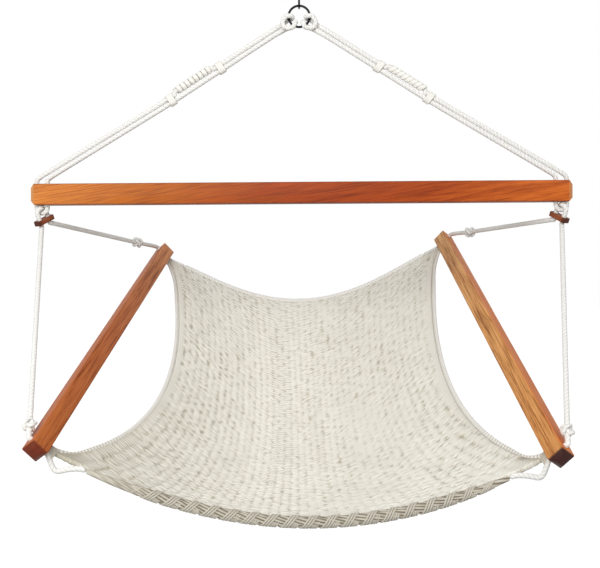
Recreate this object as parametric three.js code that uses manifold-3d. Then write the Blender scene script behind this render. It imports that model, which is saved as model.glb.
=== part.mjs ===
// A hanging hammock chair: a steel S hook and ring, two rope bridles, a wooden
// beam, two seat ropes with wooden sliders, two wooden side bars and a woven bed.
// Millimetres, +Z up, the person in the chair faces -Y. The origin is the point
// at the inner top of the hook's upper bow, where the chair hangs.
import * as THREE from 'three';
import { mergeVertices } from 'three/addons/utils/BufferGeometryUtils.js';
import Module from 'manifold-3d';

const wasm = await Module();
wasm.setup();

// Clearances
const gap = 0.4;
const boreClearance = 1.4;
const overrun = 5;
const weld = 1e-4;

// Hook and ring
const hookWire = 5;
const upperBowInside = 20;
const lowerBowInside = 18;
const hookReach = 55;
const hookTip = 9;
const ringOuter = 60;
const ringWire = 6;

// Rope
const rope = 12;
const hitchLength = 36;
const hitchEase = 34;
const bridleRise = 449;
const upperKnotReach = 240;
const lowerKnotReach = 389;
const wrapCord = 5;
const wrapTurns = 8;
const wrapShare = 0.671;
const wrapLift = 12.4;
const endGap = 1;
const seizingCord = 4;
const seizingTurns = 3;
const seizingPitch = 4.8;

// Beam
const beamLength = 1372;
const beamDepth = 38;
const beamHeight = 53;
const beamChamfer = 10;
const beamHoleInset = 26;
const beamHoleSpacing = 27;

// Sliders
const sliderLength = 56;
const sliderWidth = 24;
const sliderThickness = 12;
const sliderHoleSpacing = 30;
const sliderCorner = 4;
const sliderDrop = 65;
const sliderInset = 4;
const sliderShift = 4.5;
const sliderYaw = 60;
const sliderTilt = 25;
const loopDrop = 47;
const archDrift = 8;
const legShares = [0.34, 0.68];

// Side bars
const barSection = 40;
const barChamfer = 10;
const barRoll = 52.3;
const barHoleInset = 28;
const frontHalfWidth = 536;
const rearHalfWidth = 423;
const frontReach = 471;
const rearReach = 470;
const frontDrop = 581.5;
const rearDrop = 107.5;
const frontStep = 15;
const rearStep = 34;
const frontKnotReach = 32;
const rearKnotReach = 100;
const knotTurnRadius = 9.6;
const knotCord = 9;
const knotLength = 26;
const knotTilt = 38;

// Woven bed
const cornerReach = 17;
const leftSidePull = 102;
const rightSidePull = 78;
const leftSideSag = 130;
const rightSideSag = 120;
const frontSag = 134;
const frontSkewShare = 0.05;
const frontBow = 30;
const rearSag = 136;
const rearBow = 25;
const rimDiameter = 28;
const rimEndDiameter = 15;
const rimTaper = 190;
const rimStart = 74;
const bedThickness = 14;
const rearJoin = 40;
const edgeTieSpacing = 22;
const edgeTieStub = 8;
const edgeTieReach = 60;
const cornerEase = 8;
const frontSharpness = 1.1;
const rearSharpness = 1.3;
const borderDip = 24;
const borderShares = [1, 0.85, 0.5, 0.12];
const borderDipShares = [0, 0, 0.45, 1];
const rearBorderShares = [0.5, 1];
const insetStepShare = 0.02;
const tangentStepShare = 0.01;

// Counts, and the angle between the points of an arc
const arcStep = 30;
const boreSides = 16;
const ropeSides = 8;
const windingSides = 5;
const windingSteps = 14;
const hookSides = 8;
const ringSteps = 36;
const knotSides = 5;
const knotSteps = 12;
const bedColumns = 18;
const bedRows = 16;
const edgeSpans = 12;
const rimSpans = 32;
const rimSides = 10;

const ropeRadius = rope / 2;
const strandHalf = ropeRadius + gap;
const wrapPitch = wrapShare * (lowerKnotReach - upperKnotReach) / wrapTurns;
const archRadius = rope + 5 * gap;
const degree = Math.PI / 180;
const ringRadius = (ringOuter - ringWire) / 2;
const ringTopZ = -hookReach + ringWire / 2 + gap;
const ringZ = ringTopZ - ringRadius;
const beamZ = ringZ - bridleRise;
const loopX = beamLength / 2 - beamHoleInset;
const up = new THREE.Vector3(0, 0, 1);

// Materials

const steel = new THREE.MeshStandardMaterial({ color: '#3a3a3d', roughness: 0.25, metalness: 1 });
const cotton = new THREE.MeshStandardMaterial({ color: '#dbd9cf', roughness: 0.9, metalness: 0 });
const weave = new THREE.MeshStandardMaterial({ color: '#e8e6dc', roughness: 0.95, metalness: 0 });
const beamWood = new THREE.MeshStandardMaterial({ color: '#c86e2d', roughness: 0.4, metalness: 0 });
const barWood = new THREE.MeshStandardMaterial({ color: '#b56a38', roughness: 0.4, metalness: 0 });
const sliderWood = new THREE.MeshStandardMaterial({ color: '#784128', roughness: 0.5, metalness: 0 });

// Small helpers

const vec = (x, y, z) => new THREE.Vector3(x, y, z);

function along(start, direction, distance) {
  return start.clone().addScaledVector(direction, distance);
}

// A smooth route through its points that takes the same number of steps between
// any two of them, so close points give short steps.
class Route extends THREE.CatmullRomCurve3 {
  constructor(points) {
    super(points, false, 'centripetal');
  }

  getPointAt(share, target) {
    return this.getPoint(share, target);
  }

  getTangentAt(share, target) {
    return this.getTangent(share, target);
  }
}

function roundSection(diameter, sides) {
  const section = new THREE.Shape();
  for (let i = 0; i < sides; i += 1) {
    const angle = (i + 0.5) * 2 * Math.PI / sides;
    const x = Math.cos(angle) * diameter / 2;
    const y = Math.sin(angle) * diameter / 2;
    if (i === 0) section.moveTo(x, y);
    else section.lineTo(x, y);
  }
  section.closePath();
  return section;
}

function tube(points, diameter, sides, stepsPerSpan) {
  const steps = (points.length - 1) * stepsPerSpan;
  const path = new Route(points);
  const settings = { steps, extrudePath: path, bevelEnabled: false };
  return new THREE.ExtrudeGeometry(roundSection(diameter, sides), settings);
}

function toSolid(geometry) {
  const bare = geometry.clone();
  bare.deleteAttribute('normal');
  bare.deleteAttribute('uv');
  const merged = mergeVertices(bare, weld);
  return new wasm.Manifold(new wasm.Mesh({
    numProp: 3,
    vertProperties: new Float32Array(merged.attributes.position.array),
    triVerts: new Uint32Array(merged.index.array),
  }));
}

function toGeometry(solid) {
  const mesh = solid.getMesh();
  const geometry = new THREE.BufferGeometry();
  geometry.setAttribute('position', new THREE.BufferAttribute(mesh.vertProperties, 3));
  geometry.setIndex(new THREE.BufferAttribute(mesh.triVerts, 1));
  geometry.computeVertexNormals();
  return geometry;
}

// A geometry over points, from faces given as triples of their numbers.
function skin(points, index) {
  const geometry = new THREE.BufferGeometry().setFromPoints(points);
  geometry.setIndex(index);
  geometry.computeVertexNormals();
  return geometry;
}

function piece(name, geometry, material) {
  const mesh = new THREE.Mesh(geometry, material);
  mesh.name = name;
  return mesh;
}

// Least distance between the surfaces of a tube's turns, measured on its centre line
// between points that lie some turns of its diameter apart along it.
function leastSelfGap(points, diameter) {
  const minimumTravel = 3 * diameter;
  const travelled = [0];
  for (let i = 1; i < points.length; i += 1) {
    travelled.push(travelled[i - 1] + points[i].distanceTo(points[i - 1]));
  }
  let least = Infinity;
  for (let i = 0; i < points.length; i += 1) {
    for (let j = i + 1; j < points.length; j += 1) {
      if (travelled[j] - travelled[i] > minimumTravel) {
        least = Math.min(least, points[i].distanceTo(points[j]) - diameter);
      }
    }
  }
  return least;
}

// Steel hook and ring

function hookPoints() {
  const upperRadius = (upperBowInside + hookWire) / 2;
  const lowerRadius = (lowerBowInside + hookWire) / 2;
  const upperZ = -upperBowInside / 2;
  const lowerZ = -hookReach + lowerBowInside / 2;
  const points = [vec(0, upperRadius, upperZ - hookTip)];
  for (let angle = 0; angle <= 180; angle += arcStep) {
    const turn = angle * degree;
    points.push(vec(0, upperRadius * Math.cos(turn), upperZ + upperRadius * Math.sin(turn)));
  }
  for (let angle = 0; angle <= 180; angle += arcStep) {
    const turn = angle * degree;
    points.push(vec(0, lowerRadius * Math.cos(turn), lowerZ - lowerRadius * Math.sin(turn)));
  }
  points.push(vec(0, -lowerRadius, lowerZ + hookTip));
  return points;
}

function hangingHook() {
  return piece('hanging_hook', tube(hookPoints(), hookWire, hookSides, 2), steel);
}

function hangingRing() {
  const torus = new THREE.TorusGeometry(ringRadius, ringWire / 2, hookSides, ringSteps);
  const ring = piece('hanging_ring', torus, steel);
  ring.rotation.x = Math.PI / 2;
  ring.position.z = ringZ;
  return ring;
}

// Rope bridles from the ring to the beam

function bridleFrame(side) {
  const holeTop = vec(side * loopX, 0, beamZ + beamHeight / 2);
  const centre = vec(0, 0, ringZ);
  const down = holeTop.clone().sub(centre).normalize();
  const lift = vec(-side * down.z, 0, side * down.x);
  return { centre, down, lift };
}

// A point at a reach from the ring, raised in the picture plane, and a depth.
function bridlePoint(frame, reach, lift, depth) {
  const point = along(frame.centre, frame.down, reach);
  point.addScaledVector(frame.lift, lift);
  point.y += depth;
  return point;
}

// A point on a rope turn about the ring's wire, at an angle along the ring.
function hitchPoint(frame, ringAngle, turnAngle) {
  const turnRadius = (ringWire + rope) / 2 + 2 * gap;
  const radial = ringRadius + turnRadius * Math.cos(turnAngle * degree);
  const reach = radial * Math.cos(ringAngle * degree);
  const lift = radial * Math.sin(ringAngle * degree);
  return bridlePoint(frame, reach, lift, turnRadius * Math.sin(turnAngle * degree));
}

// Half of the cow hitch: up behind the wire, over its inner side and out in front.
function hitchTurn(frame, sign) {
  const ringAngles = [18, 18.5, 20, 23, 25, 27, 29, 30, 30.5];
  const turnAngles = [62, 90, 120, 150, 180, 210, 240, 270, 298];
  return ringAngles.map((ringAngle, i) => hitchPoint(frame, sign * ringAngle, turnAngles[i]));
}

function hitchBow(frame) {
  const bowRadius = ringRadius / 2;
  const bowReach = ringRadius + bowRadius / 2;
  const depth = -(ropeRadius + 2 * gap);
  const points = [];
  for (let angle = 60; angle >= -60; angle -= arcStep) {
    const reach = bowReach + bowRadius * Math.cos(angle * degree);
    points.push(bridlePoint(frame, reach, bowRadius * Math.sin(angle * degree), depth));
  }
  return points;
}

// The leg that leaves the hitch behind the bow and comes back to the middle plane.
function hitchLeg(frame, sign) {
  const reach = ringRadius + hitchLength / 2;
  return [
    bridlePoint(frame, reach + hitchEase, sign * strandHalf, 0),
    bridlePoint(frame, reach + hitchEase / 2, sign * (strandHalf + gap), strandHalf / 2),
    bridlePoint(frame, reach, sign * (strandHalf + 2 * gap), strandHalf + gap),
  ];
}

function wrapSpan() {
  const middle = (upperKnotReach + lowerKnotReach) / 2;
  const half = wrapTurns * wrapPitch / 2;
  return { middle, near: middle - half - wrapCord, far: middle + half + wrapCord };
}

// The strand with the splice, from one of its butted ends to a knot and on.
function liftedSpan(frame, sign) {
  const span = wrapSpan();
  const knot = sign < 0 ? upperKnotReach : lowerKnotReach;
  const wrapEnd = sign < 0 ? span.near : span.far;
  const length = seizingTurns * seizingPitch;
  return [
    bridlePoint(frame, span.middle + sign * endGap / 2, wrapLift, 0),
    bridlePoint(frame, wrapEnd - sign * wrapCord, wrapLift, 0),
    bridlePoint(frame, wrapEnd, wrapLift, 0),
    bridlePoint(frame, knot - sign * length, strandHalf, 0),
    bridlePoint(frame, knot - sign * length / 2, strandHalf, 0),
    bridlePoint(frame, knot + sign * length, strandHalf, 0),
  ];
}

// One strand's way down through the beam, given from the bridle to the loop.
function throughBeam(frame, side, strand) {
  const x = side * (loopX + strand * beamHoleSpacing / 2);
  const top = beamZ + beamHeight / 2;
  const bend = vec(x, 0, top + rope);
  return [
    along(bend, frame.down, -2 * rope),
    along(bend, frame.down, -rope),
    along(bend, frame.down, -rope / 4).add(vec(0, 0, -rope / 8)),
    vec(x, 0, top + rope / 4),
    vec(x, 0, top),
    vec(x, 0, beamZ - beamHeight / 2),
  ];
}

function beamLoop(side) {
  const radius = beamHoleSpacing / 2;
  const points = [];
  for (let angle = 0; angle <= 180; angle += arcStep) {
    const x = side * (loopX + radius * Math.cos(angle * degree));
    points.push(vec(x, 0, beamZ - loopDrop + radius * (1 - Math.sin(angle * degree))));
  }
  return points;
}

function bridlePoints(side) {
  const frame = bridleFrame(side);
  const rising = liftedSpan(frame, -1);
  const hitch = [
    ...hitchLeg(frame, 1),
    ...hitchTurn(frame, 1),
    ...hitchBow(frame),
    ...hitchTurn(frame, -1).reverse(),
    ...hitchLeg(frame, -1).reverse(),
  ];
  const lower = [
    bridlePoint(frame, upperKnotReach - seizingTurns * seizingPitch, -strandHalf, 0),
    bridlePoint(frame, upperKnotReach + seizingTurns * seizingPitch, -strandHalf, 0),
    bridlePoint(frame, lowerKnotReach - seizingTurns * seizingPitch, -strandHalf, 0),
    bridlePoint(frame, lowerKnotReach + seizingTurns * seizingPitch, -strandHalf, 0),
  ];
  return [
    ...rising,
    ...hitch,
    ...lower,
    ...throughBeam(frame, side, -1),
    ...beamLoop(side).reverse(),
    ...throughBeam(frame, side, 1).reverse(),
    ...liftedSpan(frame, 1).reverse(),
  ];
}

function bridleRope(name, side) {
  const points = bridlePoints(side);
  const inner = new Route(points).getPoints((points.length - 1) * 4).slice(8, -8);
  console.log(name, 'least gap to itself', leastSelfGap(inner, rope).toFixed(2));
  return piece(name, tube(points, rope, ropeSides, 1), cotton);
}

// A winding of round cord about one strand, or about two side by side.
function windingPoints(frame, side, reach, lift, halfSpread, cord, turns, pitch) {
  const radius = ropeRadius + gap + cord / 2;
  const count = turns * windingSteps;
  const points = [];
  for (let i = 0; i <= count; i += 1) {
    const angle = i / windingSteps * 2 * Math.PI;
    const across = radius * Math.cos(angle) + halfSpread * Math.sign(Math.cos(angle));
    const travel = (i / windingSteps - turns / 2) * pitch;
    points.push(bridlePoint(frame, reach + travel, lift + across, side * radius * Math.sin(angle)));
  }
  return points;
}

function winding(name, points, cord) {
  console.log(name, 'least gap to itself', leastSelfGap(points, cord).toFixed(2));
  return piece(name, tube(points, cord, windingSides, 1), cotton);
}

function bridleWrap(name, side) {
  const frame = bridleFrame(side);
  const middle = wrapSpan().middle;
  const points = windingPoints(frame, side, middle, wrapLift, 0, wrapCord, wrapTurns, wrapPitch);
  return winding(name, points, wrapCord);
}

function bridleKnot(name, side, reach) {
  const frame = bridleFrame(side);
  const points = windingPoints(frame, side, reach, 0, strandHalf, seizingCord, seizingTurns, seizingPitch);
  return winding(name, points, seizingCord);
}

// Wooden pieces

// A square-edged bar with all four edges of both ends chamfered, along +Z.
function chamferedBar(width, height, length, chamfer) {
  const outline = new THREE.Shape();
  outline.moveTo(-width / 2, -height / 2);
  outline.lineTo(width / 2, -height / 2);
  outline.lineTo(width / 2, height / 2);
  outline.lineTo(-width / 2, height / 2);
  outline.closePath();
  const bar = new THREE.ExtrudeGeometry(outline, {
    depth: length - 2 * chamfer,
    bevelThickness: chamfer,
    bevelSize: chamfer,
    bevelOffset: -chamfer,
    bevelSegments: 1,
  });
  bar.translate(0, 0, chamfer);
  return bar;
}

function drill(diameter, length, place) {
  const bore = new THREE.CylinderGeometry(diameter / 2, diameter / 2, length, boreSides);
  bore.applyMatrix4(place);
  return toSolid(bore);
}

function topBeam() {
  const bar = chamferedBar(beamHeight, beamDepth, beamLength, beamChamfer);
  bar.translate(0, 0, -beamLength / 2);
  bar.rotateY(Math.PI / 2);
  let solid = toSolid(bar);
  for (const side of [-1, 1]) {
    for (const strand of [-1, 1]) {
      const place = new THREE.Matrix4().makeRotationX(Math.PI / 2);
      place.setPosition(side * (loopX + strand * beamHoleSpacing / 2), 0, 0);
      solid = solid.subtract(drill(rope + boreClearance, beamHeight + 2 * overrun, place));
    }
  }
  const beam = piece('top_beam', toGeometry(solid), beamWood);
  beam.position.z = beamZ;
  return beam;
}

function sliderFrame(side) {
  const yaw = sliderYaw * degree;
  const tilt = sliderTilt * degree;
  const length = vec(-side * Math.cos(yaw) * Math.cos(tilt), Math.sin(yaw) * Math.cos(tilt), Math.sin(tilt));
  const width = up.clone().cross(length).normalize();
  const bore = length.clone().cross(width);
  const centre = vec(side * (loopX - sliderInset), sliderShift, beamZ - sliderDrop);
  return { centre, length, width, bore };
}

function slider(name, side) {
  const outline = new THREE.Shape();
  const x = sliderLength / 2;
  const y = sliderWidth / 2;
  outline.moveTo(-x + sliderCorner, -y);
  outline.lineTo(x - sliderCorner, -y);
  outline.lineTo(x, -y + sliderCorner);
  outline.lineTo(x, y - sliderCorner);
  outline.lineTo(x - sliderCorner, y);
  outline.lineTo(-x + sliderCorner, y);
  outline.lineTo(-x, y - sliderCorner);
  outline.lineTo(-x, -y + sliderCorner);
  outline.closePath();
  const plate = new THREE.ExtrudeGeometry(outline, { depth: sliderThickness, bevelEnabled: false });
  plate.translate(0, 0, -sliderThickness / 2);
  let solid = toSolid(plate);
  for (const end of [-1, 1]) {
    const place = new THREE.Matrix4().makeRotationX(Math.PI / 2);
    place.setPosition(end * sliderHoleSpacing / 2, 0, 0);
    solid = solid.subtract(drill(rope + 2 * gap, sliderThickness + 2 * overrun, place));
  }
  const frame = sliderFrame(side);
  const mesh = piece(name, toGeometry(solid), sliderWood);
  mesh.quaternion.setFromRotationMatrix(new THREE.Matrix4().makeBasis(frame.length, frame.width, frame.bore));
  mesh.position.copy(frame.centre);
  return mesh;
}

function barFrame(side) {
  const near = vec(side * frontHalfWidth, -frontReach, beamZ - frontDrop - side * frontStep / 2);
  const far = vec(side * rearHalfWidth, rearReach, beamZ - rearDrop + side * rearStep / 2);
  const axis = far.clone().sub(near).normalize();
  const level = axis.clone().cross(up).normalize();
  const steep = level.clone().cross(axis);
  const roll = barRoll * degree;
  const inner = level.multiplyScalar(-side * Math.cos(roll)).addScaledVector(steep, -Math.sin(roll));
  const other = axis.clone().cross(inner);
  const length = near.distanceTo(far);
  const frontHole = along(near, axis, barHoleInset);
  const rearHole = along(far, axis, -barHoleInset);
  return { near, far, axis, inner, other, length, frontHole, rearHole };
}

function sideBar(name, side) {
  const frame = barFrame(side);
  let solid = toSolid(chamferedBar(barSection, barSection, frame.length, barChamfer));
  for (const height of [barHoleInset, frame.length - barHoleInset]) {
    const place = new THREE.Matrix4().makeRotationZ(Math.PI / 2);
    place.setPosition(0, 0, height);
    solid = solid.subtract(drill(rope + boreClearance, barSection + 2 * overrun, place));
  }
  const mesh = piece(name, toGeometry(solid), barWood);
  mesh.quaternion.setFromRotationMatrix(new THREE.Matrix4().makeBasis(frame.inner, frame.other, frame.axis));
  mesh.position.copy(frame.near);
  return mesh;
}

// Edges of the bed

function corner(side, rear) {
  const frame = barFrame(side);
  return along(rear ? frame.rearHole : frame.frontHole, frame.inner, barSection / 2 + cornerReach);
}

// An arc between two corners: pulled level by pull, and hung by sag. A sharpness over 1
// makes the hanging line steeper in its middle than a parabola.
function edge(start, end, share, pull, sag, sharpness) {
  const hump = 4 * share * (1 - share);
  const point = start.clone().lerp(end, share).addScaledVector(pull, hump);
  point.z -= sag * Math.sign(hump) * Math.abs(hump) ** sharpness;
  return point;
}

// From the rear corner at share 0 to the front corner at share 1.
function sideEdge(side, share) {
  const pull = side < 0 ? leftSidePull : rightSidePull;
  const sag = side < 0 ? leftSideSag : rightSideSag;
  return edge(corner(side, true), corner(side, false), share, vec(-side * pull, 0, 0), sag, 1);
}

// From the left corner at share 0 to the right corner at share 1.
function frontEdge(share) {
  const sag = frontSag * (1 + frontSkewShare * (2 * share - 1));
  return edge(corner(-1, false), corner(1, false), share, vec(0, frontBow, 0), sag, frontSharpness);
}

function rearEdge(share) {
  return edge(corner(-1, true), corner(1, true), share, vec(0, -rearBow, 0), rearSag, rearSharpness);
}

function frontShare(distance) {
  return distance / (2 * frontHalfWidth);
}

function rearShare(distance) {
  return distance / (2 * rearHalfWidth);
}

// Seat ropes over the loops under the beam, through the sliders and the bars

function legPoints(from, entry, knotReach) {
  const direction = entry.clone().sub(from).normalize();
  const knot = along(entry, direction, -knotReach);
  const half = knotLength / 2;
  const reach = from.distanceTo(knot);
  const points = [from, along(from, direction, rope)];
  for (const share of legShares) points.push(along(from, direction, reach * share));
  points.push(along(knot, direction, -half - gap), along(knot, direction, -half));
  points.push(along(knot, direction, half), along(knot, direction, half + gap));
  return { points, knot, direction };
}

function archPoints(side) {
  const points = [];
  for (let angle = -90; angle <= 90; angle += arcStep) {
    const sine = Math.sin(angle * degree);
    const x = side * (loopX - archDrift * sine ** 3);
    points.push(vec(x, archRadius * sine, beamZ - loopDrop + archRadius * Math.cos(angle * degree)));
  }
  return points;
}

function sliderHole(side, end, height) {
  const frame = sliderFrame(side);
  const hole = along(frame.centre, frame.length, end * sliderHoleSpacing / 2);
  return along(hole, frame.bore, height);
}

function barPassage(frame, hole) {
  const half = barSection / 2;
  return [
    along(hole, frame.inner, -half - ropeRadius),
    along(hole, frame.inner, -half),
    along(hole, frame.inner, half),
    along(hole, frame.inner, half + ropeRadius),
  ];
}

function seatLeg(side, rear) {
  const frame = barFrame(side);
  const hole = rear ? frame.rearHole : frame.frontHole;
  const entry = along(hole, frame.inner, -barSection / 2 - ropeRadius);
  const outlet = sliderHole(side, rear ? 1 : -1, -sliderThickness / 2 - ropeRadius);
  return legPoints(outlet, entry, rear ? rearKnotReach : frontKnotReach);
}

function seatRopePoints(side) {
  const frame = barFrame(side);
  const border = borderShares.map((share, i) => {
    const place = frontShare((rimStart - gap) * share);
    const dip = vec(0, 0, borderDip * borderDipShares[i]);
    return frontEdge(side < 0 ? place : 1 - place).sub(dip);
  });
  const rearBorder = rearBorderShares.map((share) => {
    const place = rearShare((rearJoin - gap) * share);
    return rearEdge(side < 0 ? place : 1 - place);
  });
  const thick = sliderThickness / 2;
  const front = seatLeg(side, false);
  const rear = seatLeg(side, true);
  return [
    ...border,
    ...barPassage(frame, frame.frontHole).reverse(),
    ...front.points.reverse(),
    sliderHole(side, -1, -thick),
    sliderHole(side, -1, thick),
    sliderHole(side, -1, thick + gap),
    ...archPoints(side),
    sliderHole(side, 1, thick + gap),
    sliderHole(side, 1, thick),
    sliderHole(side, 1, -thick),
    ...rear.points,
    ...barPassage(frame, frame.rearHole),
    ...rearBorder,
  ];
}

function seatRope(name, side) {
  const points = seatRopePoints(side);
  const fine = new Route(points).getPoints((points.length - 1) * 4);
  console.log(name, 'least gap to itself', leastSelfGap(fine, rope).toFixed(2));
  return piece(name, tube(points, rope, ropeSides, 2), cotton);
}

// A knot lump: crossed turns about the rope, bored for the strand that runs through.
function ropeKnot(name, side, rear) {
  const leg = seatLeg(side, rear);
  let solid = null;
  for (const sign of [-1, 1]) {
    const turn = new THREE.TorusGeometry(knotTurnRadius, knotCord / 2, knotSides, knotSteps);
    turn.rotateX(sign * knotTilt * degree);
    solid = solid ? solid.add(toSolid(turn)) : toSolid(turn);
  }
  const place = new THREE.Matrix4().makeRotationX(Math.PI / 2);
  solid = solid.subtract(drill(rope + 2 * gap, knotLength + 2 * overrun, place));
  const mesh = piece(name, toGeometry(solid), cotton);
  mesh.quaternion.setFromUnitVectors(up, leg.direction);
  mesh.position.copy(leg.knot);
  return mesh;
}

// Woven bed with its rim and edge ropes

// The surface spanned by the four edges.
function bedPoint(across, down) {
  const left = sideEdge(-1, down);
  const right = sideEdge(1, down);
  const rear = rearEdge(across);
  const front = frontEdge(across);
  const sides = left.lerp(right, across);
  const ends = rear.lerp(front, down);
  const rearLine = corner(-1, true).lerp(corner(1, true), across);
  const frontLine = corner(-1, false).lerp(corner(1, false), across);
  return sides.add(ends).sub(rearLine.lerp(frontLine, down));
}

// The share of a line over the bed that an inset from one of its ends takes, where
// the line leaves an edge that runs in its own direction.
function insetShare(line, end, edgeDirection, inset) {
  const stepShare = end === 0 ? insetStepShare : -insetStepShare;
  const travel = line(end + stepShare).sub(line(end));
  const clear = travel.cross(edgeDirection).length();
  return inset * insetStepShare / clear;
}

function edgeDirection(line, share) {
  return line(share + tangentStepShare).sub(line(share - tangentStepShare)).normalize();
}

function bedGrid() {
  const ropeInset = ropeRadius + 2 * gap;
  const grid = [];
  for (let row = 0; row <= bedRows; row += 1) {
    const line = [];
    for (let column = 0; column <= bedColumns; column += 1) {
      const rough = column / bedColumns;
      const downLine = (share) => bedPoint(rough, share);
      const rearShare = insetShare(downLine, 0, edgeDirection(rearEdge, rough), ropeInset);
      const rimInset = rimDiameterAt(rough) / 2 + 3 * gap;
      const rimShare = insetShare(downLine, 1, edgeDirection(frontEdge, rough), rimInset);
      const down = rearShare + (1 - rearShare - rimShare) * row / bedRows;
      const acrossLine = (share) => bedPoint(share, down);
      const leftDirection = edgeDirection((share) => sideEdge(-1, share), down);
      const rightDirection = edgeDirection((share) => sideEdge(1, share), down);
      const sideInset = ropeInset + cornerEase * (1 - 4 * down * (1 - down)) ** 6;
      const leftShare = insetShare(acrossLine, 0, leftDirection, sideInset);
      const rightShare = insetShare(acrossLine, 1, rightDirection, sideInset);
      line.push(bedPoint(leftShare + (1 - leftShare - rightShare) * rough, down));
    }
    grid.push(line);
  }
  return grid;
}

function gridNormal(grid, row, column) {
  const above = grid[Math.max(row - 1, 0)][column];
  const below = grid[Math.min(row + 1, bedRows)][column];
  const left = grid[row][Math.max(column - 1, 0)];
  const right = grid[row][Math.min(column + 1, bedColumns)];
  const across = right.clone().sub(left);
  return below.clone().sub(above).cross(across).normalize();
}

function wovenBed() {
  const grid = bedGrid();
  const stride = bedColumns + 1;
  const layer = stride * (bedRows + 1);
  const points = [];
  for (const face of [1, -1]) {
    for (let row = 0; row <= bedRows; row += 1) {
      for (let column = 0; column <= bedColumns; column += 1) {
        const normal = gridNormal(grid, row, column);
        points.push(along(grid[row][column], normal, face * bedThickness / 2));
      }
    }
  }
  const index = [];
  const quad = (a, b, c, d) => index.push(a, b, c, a, c, d);
  for (let row = 0; row < bedRows; row += 1) {
    for (let column = 0; column < bedColumns; column += 1) {
      const a = row * stride + column;
      const b = a + stride;
      quad(a, b, b + 1, a + 1);
      quad(layer + a, layer + a + 1, layer + b + 1, layer + b);
    }
  }
  for (let column = 0; column < bedColumns; column += 1) {
    const last = bedRows * stride + column;
    quad(column, column + 1, layer + column + 1, layer + column);
    quad(last, layer + last, layer + last + 1, last + 1);
  }
  for (let row = 0; row < bedRows; row += 1) {
    const left = row * stride;
    const right = left + bedColumns;
    quad(left, layer + left, layer + left + stride, left + stride);
    quad(right, right + stride, layer + right + stride, layer + right);
  }
  return piece('woven_bed', skin(points, index), weave);
}

// The rolled rim is thick along its middle and tapers to the border ropes at its ends.
function rimDiameterAt(share) {
  const inward = Math.min(share, 1 - share) - frontShare(rimStart);
  const grown = Math.min(Math.max(inward / frontShare(rimTaper), 0), 1);
  return rimEndDiameter + (rimDiameter - rimEndDiameter) * Math.sin(grown * Math.PI / 2);
}

// A ring of points about the rim's middle line.
function rimRing(share) {
  const direction = edgeDirection(frontEdge, share);
  const level = direction.clone().cross(up).normalize();
  const steep = level.clone().cross(direction);
  const radius = rimDiameterAt(share) / 2;
  const ring = [];
  for (let side = 0; side < rimSides; side += 1) {
    const angle = side / rimSides * 2 * Math.PI;
    const point = along(frontEdge(share), level, radius * Math.cos(angle));
    ring.push(along(point, steep, radius * Math.sin(angle)));
  }
  return ring;
}

// A closed skin over rings of equally many points, with flat ends.
function loft(rings) {
  const sides = rings[0].length;
  const last = (rings.length - 1) * sides;
  const index = [];
  for (let start = 0; start < last; start += sides) {
    for (let side = 0; side < sides; side += 1) {
      const a = start + side;
      const b = start + (side + 1) % sides;
      index.push(a, b + sides, b, a, a + sides, b + sides);
    }
  }
  for (let side = 1; side < sides - 1; side += 1) {
    index.push(0, side, side + 1);
    index.push(last, last + side + 1, last + side);
  }
  return skin(rings.flat(), index);
}

function frontRim(name) {
  const start = frontShare(rimStart);
  const rings = [];
  for (let i = 0; i <= rimSpans; i += 1) {
    rings.push(rimRing(start + (1 - 2 * start) * i / rimSpans));
  }
  return piece(name, loft(rings), cotton);
}

function rearEdgeRope(name) {
  const start = rearShare(rearJoin);
  const points = [];
  for (let i = 0; i <= edgeSpans; i += 1) {
    points.push(rearEdge(start + (1 - 2 * start) * i / edgeSpans));
  }
  return piece(name, tube(points, rope, ropeSides, 2), cotton);
}

// Where a side edge rope is tied to its bar, just inside the seat rope's hole.
function edgeTie(side, rear) {
  const frame = barFrame(side);
  const hole = rear ? frame.rearHole : frame.frontHole;
  const place = along(hole, frame.axis, rear ? -edgeTieSpacing : edgeTieSpacing);
  const face = along(place, frame.inner, barSection / 2 + gap);
  return [face, along(face, frame.inner, edgeTieStub)];
}

function sideEdgeRope(name, side) {
  const start = edgeTieReach / sideEdge(side, 0).distanceTo(sideEdge(side, 1));
  const points = edgeTie(side, true);
  for (let i = 0; i <= edgeSpans; i += 1) {
    points.push(sideEdge(side, start + (1 - 2 * start) * i / edgeSpans));
  }
  points.push(...edgeTie(side, false).reverse());
  return piece(name, tube(points, rope, ropeSides, 2), cotton);
}

// The chair

const ends = [['left', -1], ['right', 1]];
const chair = new THREE.Group();
chair.add(hangingHook(), hangingRing(), topBeam());
for (const [word, side] of ends) {
  chair.add(bridleRope(`${word}_bridle_rope`, side));
  chair.add(bridleKnot(`${word}_upper_bridle_knot`, side, upperKnotReach));
  chair.add(bridleKnot(`${word}_lower_bridle_knot`, side, lowerKnotReach));
  chair.add(bridleWrap(`${word}_bridle_wrap`, side));
  chair.add(slider(`${word}_slider`, side));
  chair.add(seatRope(`${word}_seat_rope`, side));
  chair.add(ropeKnot(`${word}_front_knot`, side, false));
  chair.add(ropeKnot(`${word}_rear_knot`, side, true));
  chair.add(sideBar(`${word}_side_bar`, side));
  chair.add(sideEdgeRope(`${word}_side_edge_rope`, side));
}
chair.add(wovenBed());
chair.add(frontRim('front_rim'));
chair.add(rearEdgeRope('rear_edge_rope'));

export default chair;
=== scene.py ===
# %% [markdown]
# # A hanging hammock chair
#
# A wooden beam hangs from a steel ring by two rope bridles. Two seat ropes run over the
# bridles' loops under the beam and carry two wooden bars, and a bed woven of soft cord is
# stretched between the bars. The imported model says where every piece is. This script
# makes how each of them looks, and starts by loading that model.

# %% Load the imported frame
import math

import bmesh
import bpy
import numpy as np
from mathutils import Matrix, Vector


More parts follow.
